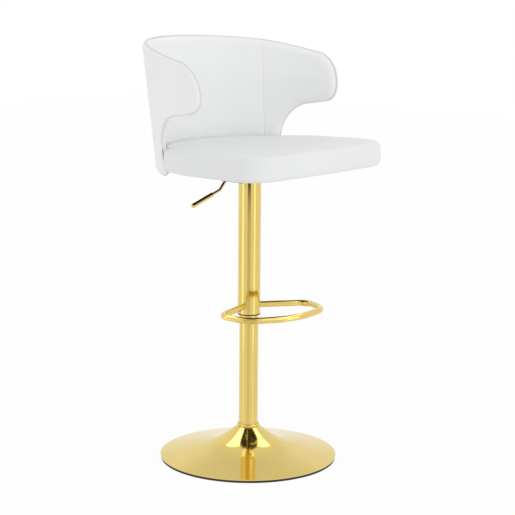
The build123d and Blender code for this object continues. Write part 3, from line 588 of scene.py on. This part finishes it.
def seat_plan():
    """Closed outline of the seat seen from above: arcs and lines of one half, mirrored, with
    its corners softened."""
    notch = np.arcsin((SEAT_NOTCH - OVAL_CENTRE) / SEAT_SIDE_DEPTH)
    inner_notch = np.arcsin((SEAT_INNER_NOTCH - OVAL_CENTRE) / SEAT_REAR[1])
    straight_back = np.pi / 2
    inner_x = SEAT_HALF_WIDTH - SEAT_CORNER
    lean = SEAT_CORNER * np.sqrt(0.5)
    front_end = (inner_x, -SEAT_FRONT)
    front_middle = (0, -SEAT_FRONT - SEAT_BOW)
    corner_centre = np.array([inner_x, SEAT_CORNER - SEAT_FRONT])
    bow = arc_through((-inner_x, -SEAT_FRONT), front_middle, front_end, BOW_STEPS)
    half = np.vstack(
        [
            bow[BOW_STEPS // 2 :],
            arc_through(
                front_end,
                corner_centre + (lean, -lean),
                corner_centre + (SEAT_CORNER, 0),
            ),
            arc_through(
                (SEAT_HALF_WIDTH, OVAL_CENTRE),
                oval_at(SEAT_MIDDLE_HALF_WIDTH, SEAT_SIDE_DEPTH, notch / 2),
                oval_at(SEAT_NOTCH_HALF_WIDTH, SEAT_SIDE_DEPTH, notch),
            ),
            arc_through(
                oval_at(*SEAT_REAR, inner_notch),
                oval_at(*SEAT_REAR, (inner_notch + straight_back) / 2),
                oval_at(*SEAT_REAR, straight_back),
            ),
        ]
    )
    mirrored = half[::-1] * (-1, 1)
    loop = np.vstack([half, mirrored, half[:1]])
    even = even_steps(loop, PLAN_STEPS + 1)[:-1]
    step = np.linalg.norm(even[1] - even[0])
    return softened(even, step, PLAN_SOFTNESS)


plan = seat_plan()
print("seat plan in mm:", np.round(np.ptp(plan, axis=0) / MM, 1))

# %% [markdown]
# ## Seat profile
# The grid carries the plan up a profile: under the board's edge, up the drawn-in side, over
# the rim and across the crowned top, which falls a little towards the rear. At the rear
# corners the underside reaches further out, because the leather there wraps the board.

# %% Seat profile
UNDERSIDE = 752 * MM
SEAT_PROFILE = np.array(
    [
        (0.02, 0.0),
        (0.60, 0.0),
        (0.945, 0.0),
        (0.970, 1.2),
        (0.984, 5.0),
        (0.992, 13.0),
        (0.991, 28.0),
        (0.991, 43.0),
        (0.990, 51.0),
        (0.986, 56.0),
        (0.976, 59.5),
        (0.955, 61.3),
        (0.900, 62.0),
        (0.700, 62.6),
        (0.400, 63.0),
        (0.02, 63.2),
    ]
)
UNDER_EDGE = slice(2, 5)
CORNER_UNDER_EDGE = (0.974, 0.976, 0.982)
CORNER_DEPTH = (30 * MM, 70 * MM)
SEAT_FALL = 9 * MM
SEAT_FALL_DEPTH = (-200 * MM, 200 * MM)
SEAM_RISE = 56 * MM
PROFILE_STEPS = 110


def seat_height_share(depth):
    """Share of the seat's full height at a depth: 1 at the front, less at the rear, along an
    S curve."""
    return 1 - SEAT_FALL / SEAM_RISE * smooth_rise(depth, *SEAT_FALL_DEPTH)


def carried_seat():
    """Plan carried up the profile: each profile point gives a share of the plan about the
    oval's centre, and a height, which falls in proportion towards the rear. Behind the corner
    depth a fuller profile takes over."""
    scale = np.array([SEAT_HALF_WIDTH, MM])
    fuller = SEAT_PROFILE.copy()
    fuller[UNDER_EDGE, 0] = CORNER_UNDER_EDGE
    profile, fuller = (
        even_steps(shape * scale, PROFILE_STEPS)[:, None] / scale
        for shape in (SEAT_PROFILE, fuller)
    )
    corner = smooth_rise(plan[None, :, 1:], *CORNER_DEPTH)
    carried = profile + corner * (fuller - profile)
    share, height = carried[..., :1], carried[..., 1:]
    flat = PLAN_CENTRE + share * (plan[None] - PLAN_CENTRE)
    rise = height * MM * seat_height_share(flat[..., 1:])
    points = np.concatenate([flat, UNDERSIDE + rise], axis=2)
    faces = grid_faces(PROFILE_STEPS, PLAN_STEPS, False, True)
    last = (PROFILE_STEPS - 1) * PLAN_STEPS
    faces.append(list(range(PLAN_STEPS))[::-1])
    faces.append(list(range(last, last + PLAN_STEPS)))
    return points.reshape(-1, 3), faces


seat_points, seat_faces = carried_seat()
# The seat takes the white copy with painted shade.
seat = new_piece("seat_cushion_leather", seat_points, seat_faces, seat_leatherette_painted_shade)
print("seat block in mm:", np.round(np.ptp(seat_points, axis=0) / MM, 1))

# %% [markdown]
# ## Inflating the cushion
# A cloth simulation with pressure swells the wrapped foam the way stuffed leather swells.
# The mesh is first remade from even voxels, because cloth needs even faces. The underside
# and the hidden rear are pinned, and so is the sewn edge, so that leather swells on both
# sides of it. No point may move more than the cap, the moves are evened out, and the result
# is written into the mesh, so no simulation is left on the piece.

# %% Remesh and inflate helpers
PRESSURE = 4.0
FRAMES = 20
SWELL_CAP = 5.0 * MM
SWELL_ROUNDS = 12
NO_LENGTH = 1e-9


def remake_from_voxels(piece, voxel):
    bpy.context.view_layer.objects.active = piece
    piece.data.remesh_voxel_size = voxel
    piece.data.remesh_voxel_adaptivity = 0.0
    bpy.ops.object.voxel_remesh()


def relaxed(mesh, values, rounds):
    """Values on a mesh's points evened out: each round moves a value half way to the mean of
    its neighbours along the edges."""
    ends = np.empty(2 * len(mesh.edges), np.int32)
    mesh.edges.foreach_get("vertices", ends)
    here, there = np.concatenate([ends.reshape(-1, 2), ends.reshape(-1, 2)[:, ::-1]]).T
    count = np.bincount(here, minlength=len(values))[:, None]
    for _ in range(rounds):
        sums = [np.bincount(here, axis[there], len(values)) for axis in values.T]
        values = 0.5 * values + 0.5 * np.column_stack(sums) / count
    return values


def inflate(piece, pinned):
    """Swells a closed mesh: cloth with inside pressure and no gravity runs for some frames,
    and every point then goes along its own path by at most the cap."""
    rest = mesh_points(piece.data)
    group = piece.vertex_groups.new(name="held_by_the_board")
    group.add(np.flatnonzero(pinned).tolist(), 1.0, "REPLACE")
    swelling = piece.modifiers.new("swelling", "CLOTH")
    swelling.settings.vertex_group_mass = group.name
    swelling.settings.use_pressure = True
    swelling.settings.uniform_pressure_force = PRESSURE
    swelling.settings.effector_weights.gravity = 0.0
    swelling.point_cache.frame_start = 1
    swelling.point_cache.frame_end = FRAMES
    for moment in range(1, FRAMES + 1):
        scene.frame_set(moment)
    evaluated = piece.evaluated_get(bpy.context.evaluated_depsgraph_get())
    moved = mesh_points(evaluated.data) - rest
    piece.modifiers.remove(swelling)
    scene.frame_set(1)
    distance = np.linalg.norm(moved, axis=1, keepdims=True)
    moved *= np.minimum(1.0, SWELL_CAP / np.maximum(distance, NO_LENGTH))
    moved = relaxed(piece.data, moved, SWELL_ROUNDS) * ~pinned[:, None]
    set_mesh_points(piece.data, rest + moved)
    return float(distance.max())


def subdivide(piece):
    """One level of smooth subdivision, written into the mesh."""
    modifier = piece.modifiers.new("finer", "SUBSURF")
    modifier.levels = modifier.render_levels = 1
    evaluated = piece.evaluated_get(bpy.context.evaluated_depsgraph_get())
    finer = bpy.data.meshes.new_from_object(evaluated)
    piece.modifiers.remove(modifier)
    piece.data = finer
    finer.shade_smooth()


print("swelling capped at mm:", SWELL_CAP / MM)

# %% Inflate the seat
SEAT_VOXEL = 5.0 * MM
VOXEL_ROUNDS = 2
SEAT_REAR_FROM = 60 * MM
BOARD_HOLD = 3.0 * MM
SEAM_HOLD = 3.0 * MM
NEAR_EDGE = 0.8


def seam_distance(points):
    """Height of each point above the seam, which falls towards the rear as the top does."""
    return points[:, 2] - UNDERSIDE - SEAM_RISE * seat_height_share(points[:, 1])


def held_points(points):
    """Points that the board, the hidden rear and the seam near the seat's edge hold still."""
    across, depth, height = points.T
    at_rear = depth > SEAT_REAR_FROM
    near_edge = (np.abs(across) > NEAR_EDGE * SEAT_HALF_WIDTH) | at_rear
    near_edge |= depth < -NEAR_EDGE * SEAT_FRONT
    from_seam = seam_distance(points)
    held = height < UNDERSIDE + BOARD_HOLD
    held |= at_rear & (from_seam < 0)
    held |= near_edge & (np.abs(from_seam) < SEAM_HOLD)
    return held


remake_from_voxels(seat, SEAT_VOXEL)
remade = relaxed(seat.data, mesh_points(seat.data), VOXEL_ROUNDS)
set_mesh_points(seat.data, remade)
swelled = inflate(seat, held_points(remade))
print("seat swelled by up to mm:", round(swelled / MM, 1))
subdivide(seat)
print("seat faces:", len(seat.data.polygons))

# %% [markdown]
# ## The seat's seam
# The top panel is sewn to the side panel all round. The seam shows as a faint dip just
# under the rim, so points near that height are drawn in a little. The underside lies flat on
# the board.

# %% Seat seam
SEAM_DEPTH = 2.2 * MM
SEAM_WIDTH = 2.3 * MM
points = mesh_points(seat.data)
outwards = points[:, :2] - PLAN_CENTRE
outwards /= np.linalg.norm(outwards, axis=1, keepdims=True)
dip = SEAM_DEPTH * np.exp(-((seam_distance(points) / SEAM_WIDTH) ** 2))
points[:, :2] -= outwards * dip[:, None]
points[:, 2] = np.maximum(points[:, 2], UNDERSIDE)
set_mesh_points(seat.data, points)
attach(seat, "lift")
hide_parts("seat_cushion")
print("seat top in mm:", round(points[:, 2].max() / MM, 1))

# %% [markdown]
# ## Dust cloth
# A thin black cloth is stretched under the board and stapled near its edge. It is a sheet:
# the seat's plan carried outwards in rings at one height, with a shallow ripple that dies
# out towards the middle, where the steel plate presses it flat.

# %% Dust cloth
CLOTH_SHARE = 0.915
CLOTH_HUB = 0.01
CLOTH_RINGS = 40
CLOTH_HEIGHT = UNDERSIDE - 0.35 * MM
CLOTH_RIPPLE = 0.25 * MM
CLOTH_RIPPLES = 40


def stretched_cloth():
    """Rings of the plan from near nothing to the cloth's share; the height is a cosine of the
    angle whose depth grows with the square of the ring."""
    ring = np.linspace(CLOTH_HUB, 1.0, CLOTH_RINGS)[:, None, None]
    flat = PLAN_CENTRE + CLOTH_SHARE * ring * (plan[None] - PLAN_CENTRE)
    turn = np.linspace(0, 2 * np.pi, PLAN_STEPS, endpoint=False)[None, :, None]
    height = CLOTH_HEIGHT + CLOTH_RIPPLE * ring**2 * np.cos(CLOTH_RIPPLES * turn)
    return np.concatenate([flat, height], axis=2)


cloth_points = stretched_cloth()
cloth_faces = grid_faces(CLOTH_RINGS, PLAN_STEPS, False, True)
cloth_faces.append(list(range(PLAN_STEPS)))
cloth = new_piece("dust_cloth", cloth_points, cloth_faces, slot_finishes["black_cloth"])
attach(cloth, "lift")
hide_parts("under_seat_cloth")

# %% [markdown]
# ## The back as a curved sheet
# The back is a moulded shell: an oval that widens upwards, cut to an outline with two
# wings. Seen from the side that outline is a run of lines with round corners. Each of its
# points has an angle round the oval and a height, so the sheet can be laid out flat as
# (angle, height), worked on there, and bent back into place.

# %% Outline of the back
HALF_WIDTH = 256 * MM
HALF_DEPTH = 258 * MM
DATUM = 765 * MM
SIDE_FLARE = 0.06
BACK_FLARE = 0.155
UNROLLED_RADIUS = 265 * MM
UNROLLED = np.array([UNROLLED_RADIUS, 1.0])
BACK_CORNERS = np.array(
    [
        (330, 746),
        (56, 746),
        (89, 766),
        (105, 884),
        (-68.5, 909),
        (-68.5, 1008),
        (150, 1048.5),
        (330, 1066),
    ],
    float,
)
BACK_ROUNDS = np.array([7, 18, 86, 36, 78, 300], float)
ROUND_STEPS = 40
FINE_STEPS = 6000


def oval_sizes(height, inset):
    rise = height - DATUM
    return HALF_WIDTH + SIDE_FLARE * rise - inset, HALF_DEPTH + BACK_FLARE * rise - inset


def bent(angle, height, inset):
    """Points on the back: an oval whose half width and half depth grow with the height, drawn
    in by the inset."""
    half_width, half_depth = oval_sizes(height, inset)
    across = half_width * np.cos(angle)
    depth = OVAL_CENTRE + half_depth * np.sin(angle)
    return np.stack([across, depth, height], axis=-1)


def back_edge(grow, count):
    """One half of the back's outline, from the middle of the bottom round the wing to the
    middle of the top, as (angle, height) at even steps along the unrolled sheet; the outline
    is first grown along its normals."""
    path = rounded_path(BACK_CORNERS * MM, BACK_ROUNDS * MM, ROUND_STEPS)
    way = np.gradient(path, axis=0)
    way /= np.maximum(np.linalg.norm(way, axis=1, keepdims=True), NO_LENGTH)
    path = path + grow * np.column_stack([-way[:, 1], way[:, 0]])
    fine = even_steps(path, FINE_STEPS)
    sine = (fine[:, 0] - OVAL_CENTRE) / oval_sizes(fine[:, 1], 0.0)[1]
    kept = sine < 1.0
    edge = np.column_stack([np.arcsin(np.clip(sine[kept], -1, 1)), fine[kept, 1]])
    edge[[0, -1], 0] = np.pi / 2
    return even_steps(edge * UNROLLED, count) / UNROLLED


half_outline = length_along(back_edge(0.0, FINE_STEPS) * UNROLLED)[-1]
print("half of the back's outline in mm:", round(half_outline / MM))

# %% [markdown]
# ## Level rows across the back
# A grid over this winged outline could run from its lower to its upper edge, but such lines
# fold where the wing hangs over. Level rows never do: each starts on the outline at its own
# height and runs round the back to the mirrored point. The grid also keeps every point's
# distance from the outline, because padding is thin at its edge and full inside.

# %% Level rows
OUTLINE_STEPS = 1600
OUTLINE_PARTS = 40
LOWEST_ROW, HIGHEST_ROW = 0.05 * MM, 0.03 * MM
EVEN_SHARE, CROWDED_SHARE = 0.3, 0.7


def distance_inside(angle, height, outline):
    """Distance of each point of the unrolled sheet from the nearest point of its outline,
    which is taken in parts to save memory."""
    folded = np.minimum(angle, np.pi - angle)
    flat = np.column_stack([folded.ravel(), height.ravel()]) * UNROLLED
    nearest = np.full(len(flat), np.inf)
    for part in np.array_split(outline * UNROLLED, OUTLINE_PARTS):
        gaps = np.linalg.norm(flat[:, None] - part[None], axis=2)
        nearest = np.minimum(nearest, gaps.min(1))
    return nearest.reshape(angle.shape)


def back_sheet(grow, rows, seams, columns):
    """Level rows across the back as grids of angle, height and distance from the outline.
    Each row runs in panels that meet at the seams' angles, with columns closer together near
    the panels' sides: even steps mixed with half a cosine wave. Where a row starts beyond a
    seam, the panel at its side has no width."""
    outline = back_edge(grow, OUTLINE_STEPS)
    low = outline[:, 1].min() + LOWEST_ROW
    high = outline[:, 1].max() - HIGHEST_ROW
    rising = outline[(outline[:, 1] > low) & (outline[:, 1] < high)]
    starts = even_steps(rising * UNROLLED, rows)
    start, level = starts.T[:, :, None] / UNROLLED[:, None, None]
    sides = [start, *(np.clip(seam, start, np.pi - start) for seam in seams), np.pi - start]
    panels = []
    for left, right, count in zip(sides, sides[1:], columns):
        step = np.arange(count)[None, :] / count
        share = EVEN_SHARE * step + CROWDED_SHARE * (0.5 - 0.5 * np.cos(np.pi * step))
        panels.append(left + (right - left) * share)
    angle = np.hstack([*panels, sides[-1]])
    height = np.broadcast_to(level, angle.shape)
    inside = distance_inside(angle, height, outline)
    inside[[0, -1]] = 0.0
    inside[:, [0, -1]] = 0.0
    return angle, height, inside


PAD_SEAMS = np.radians([37.0, 143.0])
PAD_GROWTH, PAD_ROWS, PAD_COLUMNS = 3.0 * MM, 200, [56, 90, 56]
COVER_GROWTH, COVER_ROWS, COVER_COLUMNS = 2.5 * MM, 170, [60, 60]
cover_sheet = back_sheet(COVER_GROWTH, COVER_ROWS, [np.pi / 2], COVER_COLUMNS)
pad_sheet = back_sheet(PAD_GROWTH, PAD_ROWS, PAD_SEAMS, PAD_COLUMNS)
print("pad grid:", pad_sheet[0].shape, "deepest inside, mm:", round(pad_sheet[2].max() / MM, 1))

# %% [markdown]
# ## Closed shells
# Cover and pad are closed bodies, because a real pad has a hidden face too. The seen rows
# and the hidden rows form one ring, strips close its two ends, and where several points fall
# together, as at the tips of the rows, they are merged into one.

# %% Closed shells
SAME_PLACE = 1e-7


def merge_touching(mesh):
    """Joins points that lie in the same place, drops faces left without area, and turns all
    faces outwards."""
    work = bmesh.new()
    work.from_mesh(mesh)
    bmesh.ops.remove_doubles(work, verts=work.verts, dist=SAME_PLACE)
    bmesh.ops.dissolve_degenerate(work, edges=work.edges, dist=SAME_PLACE)
    bmesh.ops.recalc_face_normals(work, faces=work.faces)
    work.to_mesh(mesh)
    work.free()
    mesh.shade_smooth()
    mesh.update()


def shell_piece(name, sheet, face_inset, hidden_inset):
    """A closed padded shell: the seen face at one inset, then the hidden face at another, row
    after row back to the start, so that the rows close into a ring. Strips close both ends,
    and points that fall together are merged."""
    angle, height, _ = sheet
    seen = bent(angle, height, face_inset)
    hidden = bent(angle, height, hidden_inset)[::-1]
    points = np.concatenate([seen, hidden])
    rows, columns = points.shape[:2]
    faces = grid_faces(rows, columns, True, False)
    first_points = np.arange(rows) * columns
    out = first_points[: rows // 2]
    back = first_points[::-1][: rows // 2]
    start_strip = np.column_stack([out[:-1], out[1:], back[1:], back[:-1]])
    end_strip = start_strip[:, ::-1] + columns - 1
    faces += start_strip.tolist() + end_strip.tolist()
    # Cover and pad take the back's white, the copy with painted light.
    piece = new_piece(name, points, faces, back_leatherette_painted_light)
    merge_touching(piece.data)
    return piece


print("points merge within mm:", SAME_PLACE / MM)

# %% [markdown]
# ## Outer cover
# The outer cover is stretched over the shell and curls in towards the piping: near the
# outline it follows a quarter circle inwards.

# %% Outer cover
COVER_ROUND = 10.0 * MM
COVER_CURL = 7.0 * MM
COVER_THICKNESS = 4.0 * MM
COVER_EDGE_THICKNESS = 0.5 * MM


def quarter_round(distance, reach):
    """A quarter circle: 0 at the edge, 1 beyond the reach, sqrt(1 - (1 - d / reach)^2)."""
    left = 1 - np.clip(distance / reach, 0, 1)
    return np.sqrt(1 - left**2)


cover_inset = COVER_CURL * (1 - quarter_round(cover_sheet[2], COVER_ROUND))
cover_hidden = np.maximum(cover_inset + COVER_EDGE_THICKNESS, COVER_THICKNESS)
cover = shell_piece("back_cover_leather", cover_sheet, cover_inset, cover_hidden)
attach(cover, "lift")
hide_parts("back_outer_cover")
print("cover faces:", len(cover.data.polygons))

# %% [markdown]
# ## Inner pad
# The inner pad is foam: from the piping it rolls over the edge of the shell in a quarter
# round, then fills slowly towards its middle. Low down it stays thin, where the seat sits
# against it. Two upright seams join its middle panel to the wings: each is a narrow groove
# in a shallow valley.

# %% Inner pad
PAD_START = 9.5 * MM
PAD_ROUND, PAD_LOW_ROUND = 18.0 * MM, 6.0 * MM
PAD_ROLL, PAD_LOW_ROLL = 12.0 * MM, 6.0 * MM
PAD_LOW = (772 * MM, 802 * MM)
PAD_FILL = 6.0 * MM
PAD_FILL_REACH = (0.0, 95.0 * MM)
PAD_SEAM_DEPTH, PAD_SEAM_WIDTH = 1.6 * MM, 2.2 * MM
PAD_VALLEY_DEPTH, PAD_VALLEY_WIDTH = 1.8 * MM, 22.0 * MM
PAD_SEAM_REACH = (2 * MM, 25 * MM)
PLY_FACE = 13.3 * MM
PLY_ROUND = 3.0 * MM

pad_angle, pad_height, pad_margin = pad_sheet
above_seat = smooth_rise(pad_height, *PAD_LOW)
roll = PAD_LOW_ROLL + (PAD_ROLL - PAD_LOW_ROLL) * above_seat
reach = PAD_LOW_ROUND + (PAD_ROUND - PAD_LOW_ROUND) * above_seat
fill = PAD_FILL * above_seat * smooth_rise(pad_margin, *PAD_FILL_REACH)
from_seam = np.abs(pad_angle[..., None] - PAD_SEAMS).min(-1) * UNROLLED_RADIUS
sewn_in = PAD_SEAM_DEPTH * np.exp(-((from_seam / PAD_SEAM_WIDTH) ** 2))
sewn_in += PAD_VALLEY_DEPTH * np.exp(-((from_seam / PAD_VALLEY_WIDTH) ** 2))
sewn_in *= smooth_rise(pad_margin, *PAD_SEAM_REACH)
pad_inset = PAD_START + roll * quarter_round(pad_margin, reach) + fill - sewn_in
pad_hidden = PAD_START + (PLY_FACE - PAD_START) * quarter_round(pad_margin, PLY_ROUND)
pad = shell_piece("back_pad_leather", pad_sheet, pad_inset, pad_hidden)
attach(pad, "lift")
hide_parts("back_inner_pad")
print("pad faces:", len(pad.data.polygons))

# %% [markdown]
# ## Piping
# A grey cord wrapped in leatherette is sewn into the joint between cover and pad, all round
# the back. It is a circle carried along the outline: at each point the circle stands across
# the path, between the path's outward side and the sheet's own face. Beside the seat it is
# tucked in, out of sight.

# %% Piping
PIPING_RADIUS = 2.5 * MM
PIPING_GROWTH = 3.0 * MM
PIPING_INSET = 7.5 * MM
PIPING_TUCK = 4.0 * MM
PIPING_TUCK_FROM = (757 * MM, 772 * MM)
PIPING_TUCK_TO = (795 * MM, 835 * MM)
PIPING_EDGE_STEPS = 1200
PIPING_STEPS = 900
PIPING_SIDES = 12


def carried_circle(path, radius, sides):
    """A round bead along a closed path: the tangent is the central difference, one side
    direction points away from the column's axis, and the other is their cross product."""
    tangent = np.roll(path, -1, axis=0) - np.roll(path, 1, axis=0)
    tangent /= np.linalg.norm(tangent, axis=1, keepdims=True)
    outward = path * (1.0, 1.0, 0.0)
    outward -= tangent * (outward * tangent).sum(1, keepdims=True)
    outward /= np.linalg.norm(outward, axis=1, keepdims=True)
    across = np.cross(tangent, outward)
    turn = np.linspace(0, 2 * np.pi, sides, endpoint=False)[None, :, None]
    circle = np.cos(turn) * outward[:, None] + np.sin(turn) * across[:, None]
    return path[:, None] + radius * circle


half_edge = back_edge(PIPING_GROWTH, PIPING_EDGE_STEPS)
mirrored_edge = half_edge[::-1] * (-1, 1) + (np.pi, 0)
edge_angle, edge_height = np.vstack([half_edge[:-1], mirrored_edge[:-1]]).T
tucked_in = smooth_rise(edge_height, *PIPING_TUCK_FROM)
tucked_in -= smooth_rise(edge_height, *PIPING_TUCK_TO)
edge_points = bent(edge_angle, edge_height, PIPING_INSET + PIPING_TUCK * tucked_in)
piping_loop = np.vstack([edge_points, edge_points[:1]])
piping_path = even_steps(piping_loop, PIPING_STEPS + 1)[:-1]
piping_points = carried_circle(piping_path, PIPING_RADIUS, PIPING_SIDES)
piping_faces = grid_faces(PIPING_STEPS, PIPING_SIDES, True, True)
piping = new_piece("back_piping_cord", piping_points, piping_faces, grey_leatherette)
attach(piping, "lift")
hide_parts("back_piping")
print("piping length in m:", round(length_along(piping_loop)[-1], 2))

# %% [markdown]
# ## White room and floor
# The photograph is a cut-out on white. The world is white to the camera and to reflections
# and a little dimmer as light. The floor is nearly white but keeps the shadow.

# %% World and floor
WORLD_LIGHT = 0.90
FLOOR_HALF = 8.0
FLOOR_GLOW = 0.91
FLOOR_WHITE = (0.97, 0.97, 0.97, 1.0)


def seen_or_reflected(finish):
    """1 for rays from the camera, a reflection or a refraction, and 0 for light."""
    rays = finish.node("ShaderNodeLightPath")
    shares = rays.out("Is Camera Ray") + rays.out("Is Glossy Ray")
    shares = shares + rays.out("Is Transmission Ray")
    return shares.math("MINIMUM", shares, 1.0)


world = Finish(bpy.data.worlds.new("white_room"))
strength = WORLD_LIGHT + seen_or_reflected(world) * (1 - WORLD_LIGHT)
sky = world.node("ShaderNodeBackground", {}, {"Color": (*WHITE, 1.0), "Strength": strength})
world.node("ShaderNodeOutputWorld", {}, {"Surface": sky.out("Background")})
scene.world = world.owner

floor_finish = new_finish("white_floor")
matt = floor_finish.node("ShaderNodeBsdfDiffuse", {}, {"Color": FLOOR_WHITE}).out("BSDF")
glow = floor_finish.glow((*WHITE, 1.0), 1.0)
glow_share = seen_or_reflected(floor_finish) * FLOOR_GLOW
mix_sockets = {"Fac": glow_share, 1: matt, 2: glow}
mixed = floor_finish.node("ShaderNodeMixShader", {}, mix_sockets).out("Shader")
floor_corners = np.array([(-1, -1, 0), (1, -1, 0), (1, 1, 0), (-1, 1, 0)], float)
floor = new_piece("floor", FLOOR_HALF * floor_corners, ONE_FACE, floor_finish.result(mixed))
print("world light:", WORLD_LIGHT, "floor in m:", 2 * FLOOR_HALF)

# %% [markdown]
# ## Key lamp
# One wide lamp in front of the seat and a little above it shapes the leather. It is weak:
# the white room does most of the lighting, as in a photographer's light tent.

# %% Key lamp
KEY_PLACE = (0.3, -2.8, 1.6)
KEY_TARGET = (0.0, 0.0, 0.8)
KEY_SIZE = 2.0
KEY_POWER = 10.0


def lamp(name, place, target, size, power):
    """A square lamp whose backward direction runs from its target to its place."""
    data = bpy.data.lights.new(name, "AREA")
    data.size = size
    data.energy = power
    holder = bpy.data.objects.new(name, data)
    scene.collection.objects.link(holder)
    backward = np.subtract(place, target)
    backward /= np.linalg.norm(backward)
    right = np.cross((0.0, 0.0, 1.0), backward)
    right /= np.linalg.norm(right)
    holder.matrix_world = standing_at(right, np.cross(backward, right), backward, place)


lamp("key_lamp", KEY_PLACE, KEY_TARGET, KEY_SIZE, KEY_POWER)
print("key lamp in W:", KEY_POWER)

# %% [markdown]
# ## Cards for the metal
# Polished metal shows only what stands round it. Photographers place black and white cards
# just out of the picture, and their reflections draw the streaks along the tubes. Three
# upright cards stand close, because a camera that looks down sees the floor in the tube
# beyond a short distance. Three more hang overhead: two bright ones light up the sides of the
# dish's neck, and a pale one behind the stool shades the front of the dish. Only reflections
# see them.

# %% Card finishes
CAMERA_SIDE = np.degrees(CAMERA_BEARING) + 180.0
CEILING = 2.3
WHITE_CARD_GLOW, BRIGHT_CARD_GLOW = 1.6, 2.4
WHITE_CARD_SHADES = [(0.18, 0.74), (0.26, 1.0)]
GREY_CARD_SHADES = [
    (0.0, 0.84),
    (0.30, 0.80),
    (0.36, 0.72),
    (0.56, 0.68),
    (0.63, 0.45),
    (0.67, 0.12),
]
PALE_CARD_SHADE = 0.80
PALE_CARD_REACH = 1.9
PALE_CARD_DISTANCE = 2.5


def shaded_card(name, strength, shades):
    """A glowing panel whose shade changes with the height above the floor in metres."""
    finish = new_finish(name)
    stops = [(height, (shade, shade, shade)) for height, shade in shades]
    sockets = {"Fac": finish.place_along("Z")}
    colour = finish.node("ShaderNodeValToRGB", {"stops": stops}, sockets).out("Color")
    return finish.result(finish.glow(colour, strength))


def fading_card(name, centre, reach, shade):
    """A glowing panel that goes from the shade at its centre to white at the reach."""
    finish = new_finish(name)
    sockets = {0: finish.place(), 1: centre}
    away = finish.node("ShaderNodeVectorMath", {"operation": "DISTANCE"}, sockets).out("Value")
    colour = finish.blend(away * (1 / reach), (shade, shade, shade), WHITE)
    return finish.result(finish.glow(colour, 1.0))


def way_from_camera(degrees):
    """Level direction from the column, counted to the left from the camera's side."""
    bearing = np.radians(CAMERA_SIDE + degrees)
    return np.array([np.sin(bearing), np.cos(bearing), 0.0])


white_card = shaded_card("white_card", WHITE_CARD_GLOW, WHITE_CARD_SHADES)
grey_card = shaded_card("grey_card", 1.0, GREY_CARD_SHADES)
bright_finish = new_finish("bright_card")
bright_card = bright_finish.result(bright_finish.glow((*WHITE, 1.0), BRIGHT_CARD_GLOW))
pale_centre = PALE_CARD_DISTANCE * way_from_camera(180.0) + (0.0, 0.0, CEILING)
pale_card = fading_card("pale_card", pale_centre, PALE_CARD_REACH, PALE_CARD_SHADE)
print("card finishes:", white_card.name, grey_card.name, bright_card.name, pale_card.name)

# %% Cards
# Upright: degrees from the camera's side, half spread in degrees, distance, top, finish.
UPRIGHT_CARDS = {
    "card_behind_camera": (4.5, 15.0, 0.30, 0.72, grey_card),
    "card_left": (68.0, 9.0, 0.35, 1.0, white_card),
    "card_right": (-52.0, 7.0, 0.35, 1.0, white_card),
}
# Overhead: degrees from the camera's side, half spread, nearest and farthest, finish.
OVERHEAD_CARDS = {
    "ceiling_card_left": (110.0, 36.0, 0.5, 2.1, bright_card),
    "ceiling_card_right": (-110.0, 36.0, 0.5, 2.1, bright_card),
    "ceiling_card_far": (180.0, 33.0, 0.8, 4.4, pale_card),
}


def seen_in_reflections(name, panel, finish):
    piece = new_piece(name, panel, ONE_FACE, finish)
    piece.visible_camera = False
    piece.visible_diffuse = False
    piece.visible_shadow = False


def upright_card(degrees, spread, distance, top):
    """Corners of a panel that faces the column, as wide as the spread of angles."""
    away = way_from_camera(degrees) * distance
    aside = way_from_camera(degrees + 90.0) * distance * np.tan(np.radians(spread))
    foot = np.array([away - aside, away + aside])
    return np.vstack([foot, foot[::-1] + (0.0, 0.0, top)])


def overhead_card(degrees, spread, near, far):
    """Corners of a level panel: a sector of a ring between two distances from the column."""
    sides = np.array([way_from_camera(degrees + turn) for turn in (-spread, spread)])
    return np.vstack([sides * near, sides[::-1] * far]) + (0.0, 0.0, CEILING)


for name, (*shape, finish) in UPRIGHT_CARDS.items():
    seen_in_reflections(name, upright_card(*shape), finish)
for name, (*shape, finish) in OVERHEAD_CARDS.items():
    seen_in_reflections(name, overhead_card(*shape), finish)
print("cards:", len(UPRIGHT_CARDS) + len(OVERHEAD_CARDS))
